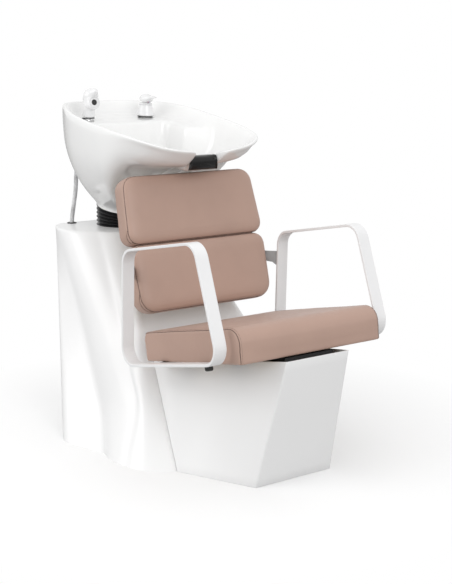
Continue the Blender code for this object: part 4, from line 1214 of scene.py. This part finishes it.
def back_cushion(name, node, low, high, half_low, half_high, radii):
    """A padded back cushion: crowned front panel, boxing round the side and the seam between them."""
    rings = []
    for depth, pull in ((CUSHION_THICK, 0.006), (CUSHION_THICK - 0.004, 0.001), (0.052, 0.0), (0.034, 0.0),
                        (0.020, 0.0), (0.013, 0.0015), (0.008, 0.005), (0.0045, 0.011), (0.0025, 0.020),
                        (0.0015, 0.034)):
        outline = back_outline(low, high, half_low, half_high, radii, pull)
        rings.append([back_point(x, up, depth) for x, up in outline])
    pad = loft(name, rings)
    inflate(pad, SWELL)
    for vertex in pad.data.vertices:
        x, up, behind = from_back(vertex.co + MIDDLE)
        behind = min(behind, CUSHION_THICK - 0.0005)
        vertex.co = back_point(x, min(max(up, low), high), behind) - MIDDLE
    subdivide(pad, 1, 80)
    skin = surface_of(pad)
    around = back_outline(low, high, half_low, half_high, radii, 0.0)
    around = spline([Vector((x, up, 0.0)) for x, up in around], 260, closed=True)
    seam = on_skin(skin, [back_point(p.x, p.y, SEAM_DEPTH) for p in around], 0.0004)
    rear = on_skin(skin, [back_point(p.x, p.y, CUSHION_THICK - 0.010) for p in around], 0.0004)
    tucks = []
    for side in (-1, 1):
        spots = []
        for k in range(26):
            share = k / 25
            turn = math.radians(90 * share)
            behind = SEAM_DEPTH + 0.014 * math.sin(math.pi * share) ** 0.7
            reach = radii[0] + 0.012
            x = side * (half_low - reach * (1 - math.cos(turn * 0.98)))
            up = low + reach * (1 - math.sin(turn * 0.98))
            spots.append(back_point(x, up, behind))
        tucks.append(on_skin(skin, spots, 0.0004))
    press_seam(pad, [seam, rear] + tucks, 0.0028, 0.006)
    place_piece(pad, "vinyl", "pedestal", node)
    skin = surface_of(pad)
    seam = on_skin(skin, seam, -0.0001)
    threads = tubes(name + "_seam", [seam], THREAD, 6, closed=True)
    place_piece(threads, "thread", "pedestal")
    tuck_threads = tubes(name + "_tucks", [on_skin(skin, t, -0.0001) for t in tucks], 0.8 * THREAD, 6)
    place_piece(tuck_threads, "thread", "pedestal")


def seat_profile(slack):
    """The seat's side outline as (forward, up), from the rear underside round to the front underside."""
    front = SEAT_DEPTH
    outline = [(slack + 0.001, 0.0010), (slack, SEAT_REAR_HEIGHT - 0.016),
               (0.010 + slack, SEAT_REAR_HEIGHT - slack)]
    outline.append((0.120, 0.0915 - slack))
    outline.append((0.240, 0.096 - slack))
    outline.append((0.340, 0.0975 - slack))
    for k in range(15):
        turn = math.radians(90 - 86 * k / 14)
        a = front - slack - WATERFALL * (1 - math.cos(turn))
        b = SEAT_FRONT_HEIGHT - slack - WATERFALL * (1 - math.sin(turn))
        outline.append((a, b))
    outline.append((front - 0.004 - slack, 0.0010))
    return outline


def seat_cushion():
    """The seat: a top panel that rolls over the front, joined to flat side panels by seams."""
    slack = 0.001
    profile = seat_profile(slack)
    rings = []
    flank = SEAT_HALF - slack
    for x, pull in ((-flank, 0.004), (-flank + 0.003, 0.001), (-0.22, 0.0), (-0.11, 0.0), (0.0, 0.0),
                    (0.11, 0.0), (0.22, 0.0), (flank - 0.003, 0.001), (flank, 0.004)):
        ring = []
        middle = Vector((0.24, 0.045))
        for a, b in profile:
            p = Vector((a, b))
            p = p + (middle - p).normalized() * pull
            ring.append(seat_point(x, p.x, p.y))
        rings.append(ring)
    pad = loft("seat_pad", rings)
    inflate(pad, SWELL)
    for vertex in pad.data.vertices:
        x, forward, up = from_seat(vertex.co + MIDDLE)
        up = max(up, 0.0006)
        vertex.co = seat_point(x, forward, up) - MIDDLE
    subdivide(pad, 1, 80)
    skin = surface_of(pad)
    seams = []
    stitches = []
    outline = [Vector((a, b, 0.0)) for a, b in seat_profile(0.0)]
    edge = spline(outline[1:], 220)
    for side in (-1, 1):
        spots = [seat_point(side * (SEAT_HALF + 0.001), p.x, p.y) for p in edge]
        seams.append(on_skin(skin, spots, 0.0004))
        row = [seat_point(side * (SEAT_HALF - 0.008), p.x, p.y) for p in edge]
        stitches.append(row)
    press_seam(pad, seams, 0.0020, 0.005)
    place_piece(pad, "vinyl", "pedestal", "seat_cushion")
    skin = surface_of(pad)
    threads = tubes("seat_seams", [on_skin(skin, s, -0.0001) for s in seams], THREAD, 6)
    place_piece(threads, "thread", "pedestal")
    dashes = []
    for row in stitches:
        line = spline(on_skin(skin, row, -0.0001), 280)
        for k in range(0, len(line) - 2, 2):
            dashes.append([line[k], line[k + 1] + (line[k + 2] - line[k + 1]) * 0.2])
    dotted = tubes("seat_stitches", dashes, 0.0004, 5)
    place_piece(dotted, "thread", "pedestal")


# ---------------------------------------------------------------- assembly

PLAIN = {
    "enamel": ("armrest_left", "armrest_right"),
    "shell": ("service_panel",),
    "cap": ("arm_bolt_left", "arm_bolt_right"),
    "rubber": ("handset_gasket", "mixer_gasket"),
    "chrome": ("waste_flange", "handset_sleeve"),
    "brass": ("hose_elbow",),
    "steel": ("tilt_pin",),
    "pipe": ("waste_pipe",),
    "plywood": ("seat_board", "back_board_lower", "back_board_upper"),
    "grey_steel": ("arm_bracket_left", "arm_bracket_right", "back_upright_left", "back_upright_right",
                   "back_crossbar", "back_carrier"),
    "black_steel": ("arm_bar_front", "arm_bar_rear", "floor_frame", "front_post_left", "front_post_right",
                    "rear_post", "seat_frame", "tilt_yoke", "basin_plate"),
}


def carried_over():
    """CAD nodes whose shape is right keep it and get a real material."""
    for look, names in PLAIN.items():
        for name in names:
            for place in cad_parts[name].material_slots:
                place.material = LOOKS[look]


def floor():
    """A plain pale floor that runs into the white surround a little way from the unit."""
    half = 30.0
    mesh = bpy.data.meshes.new("floor")
    corners = [(-half, -half, 0), (half, -half, 0), (half, half, 0), (-half, half, 0)]
    mesh.from_pydata(corners, [], [(0, 1, 2, 3)])
    made = bpy.data.objects.new("floor", mesh)
    bpy.context.scene.collection.objects.link(made)
    look = Look("floor_white", FLOOR_WHITE, 0.7)
    look.tint(look.noise(3.0, 2.0), 0.3, 0.7, scaled(FLOOR_WHITE, 0.995), FLOOR_WHITE)
    reach = look.add("ShaderNodeVectorMath", operation="LENGTH")
    look.link(look.place, reach.inputs[0])
    share = look.ramp(reach.outputs["Value"], FLOOR_NEAR, FLOOR_FAR, 0.0, 1.0)
    glow = look.add("ShaderNodeEmission")
    seen = look.add("ShaderNodeLightPath").outputs["Is Camera Ray"]
    look.link(look.ramp(seen, 0.0, 1.0, FLOOR_GLOW, 1.0), glow.inputs["Strength"])
    dim = look.add("ShaderNodeBsdfDiffuse")
    dim.inputs["Color"].default_value = (*FLOOR_BOUNCE, 1.0)
    near = look.add("ShaderNodeMixShader")
    look.link(seen, near.inputs[0])
    look.link(dim.outputs[0], near.inputs[1])
    look.link(look.shader.outputs[0], near.inputs[2])
    pick = look.add("ShaderNodeMixShader")
    look.link(share, pick.inputs[0])
    look.link(near.outputs[0], pick.inputs[1])
    look.link(glow.outputs[0], pick.inputs[2])
    look.link(pick.outputs[0], look.tree.nodes["Material Output"].inputs["Surface"])
    mesh.materials.append(look.made)


place_camera()
hose()
column()
cowl()
basin()
neck_rest()
bellows()
handset()
mixer()
back_cushion("back_pad_upper", "back_cushion_upper", PAD_GAP, UPPER_HEIGHT, 0.249, 0.235, UPPER_CORNERS)
back_cushion("back_pad_lower", "back_cushion_lower", -LOWER_HEIGHT, -PAD_GAP, 0.240, 0.247, LOWER_CORNERS)
seat_cushion()
carried_over()
floor()
studio()
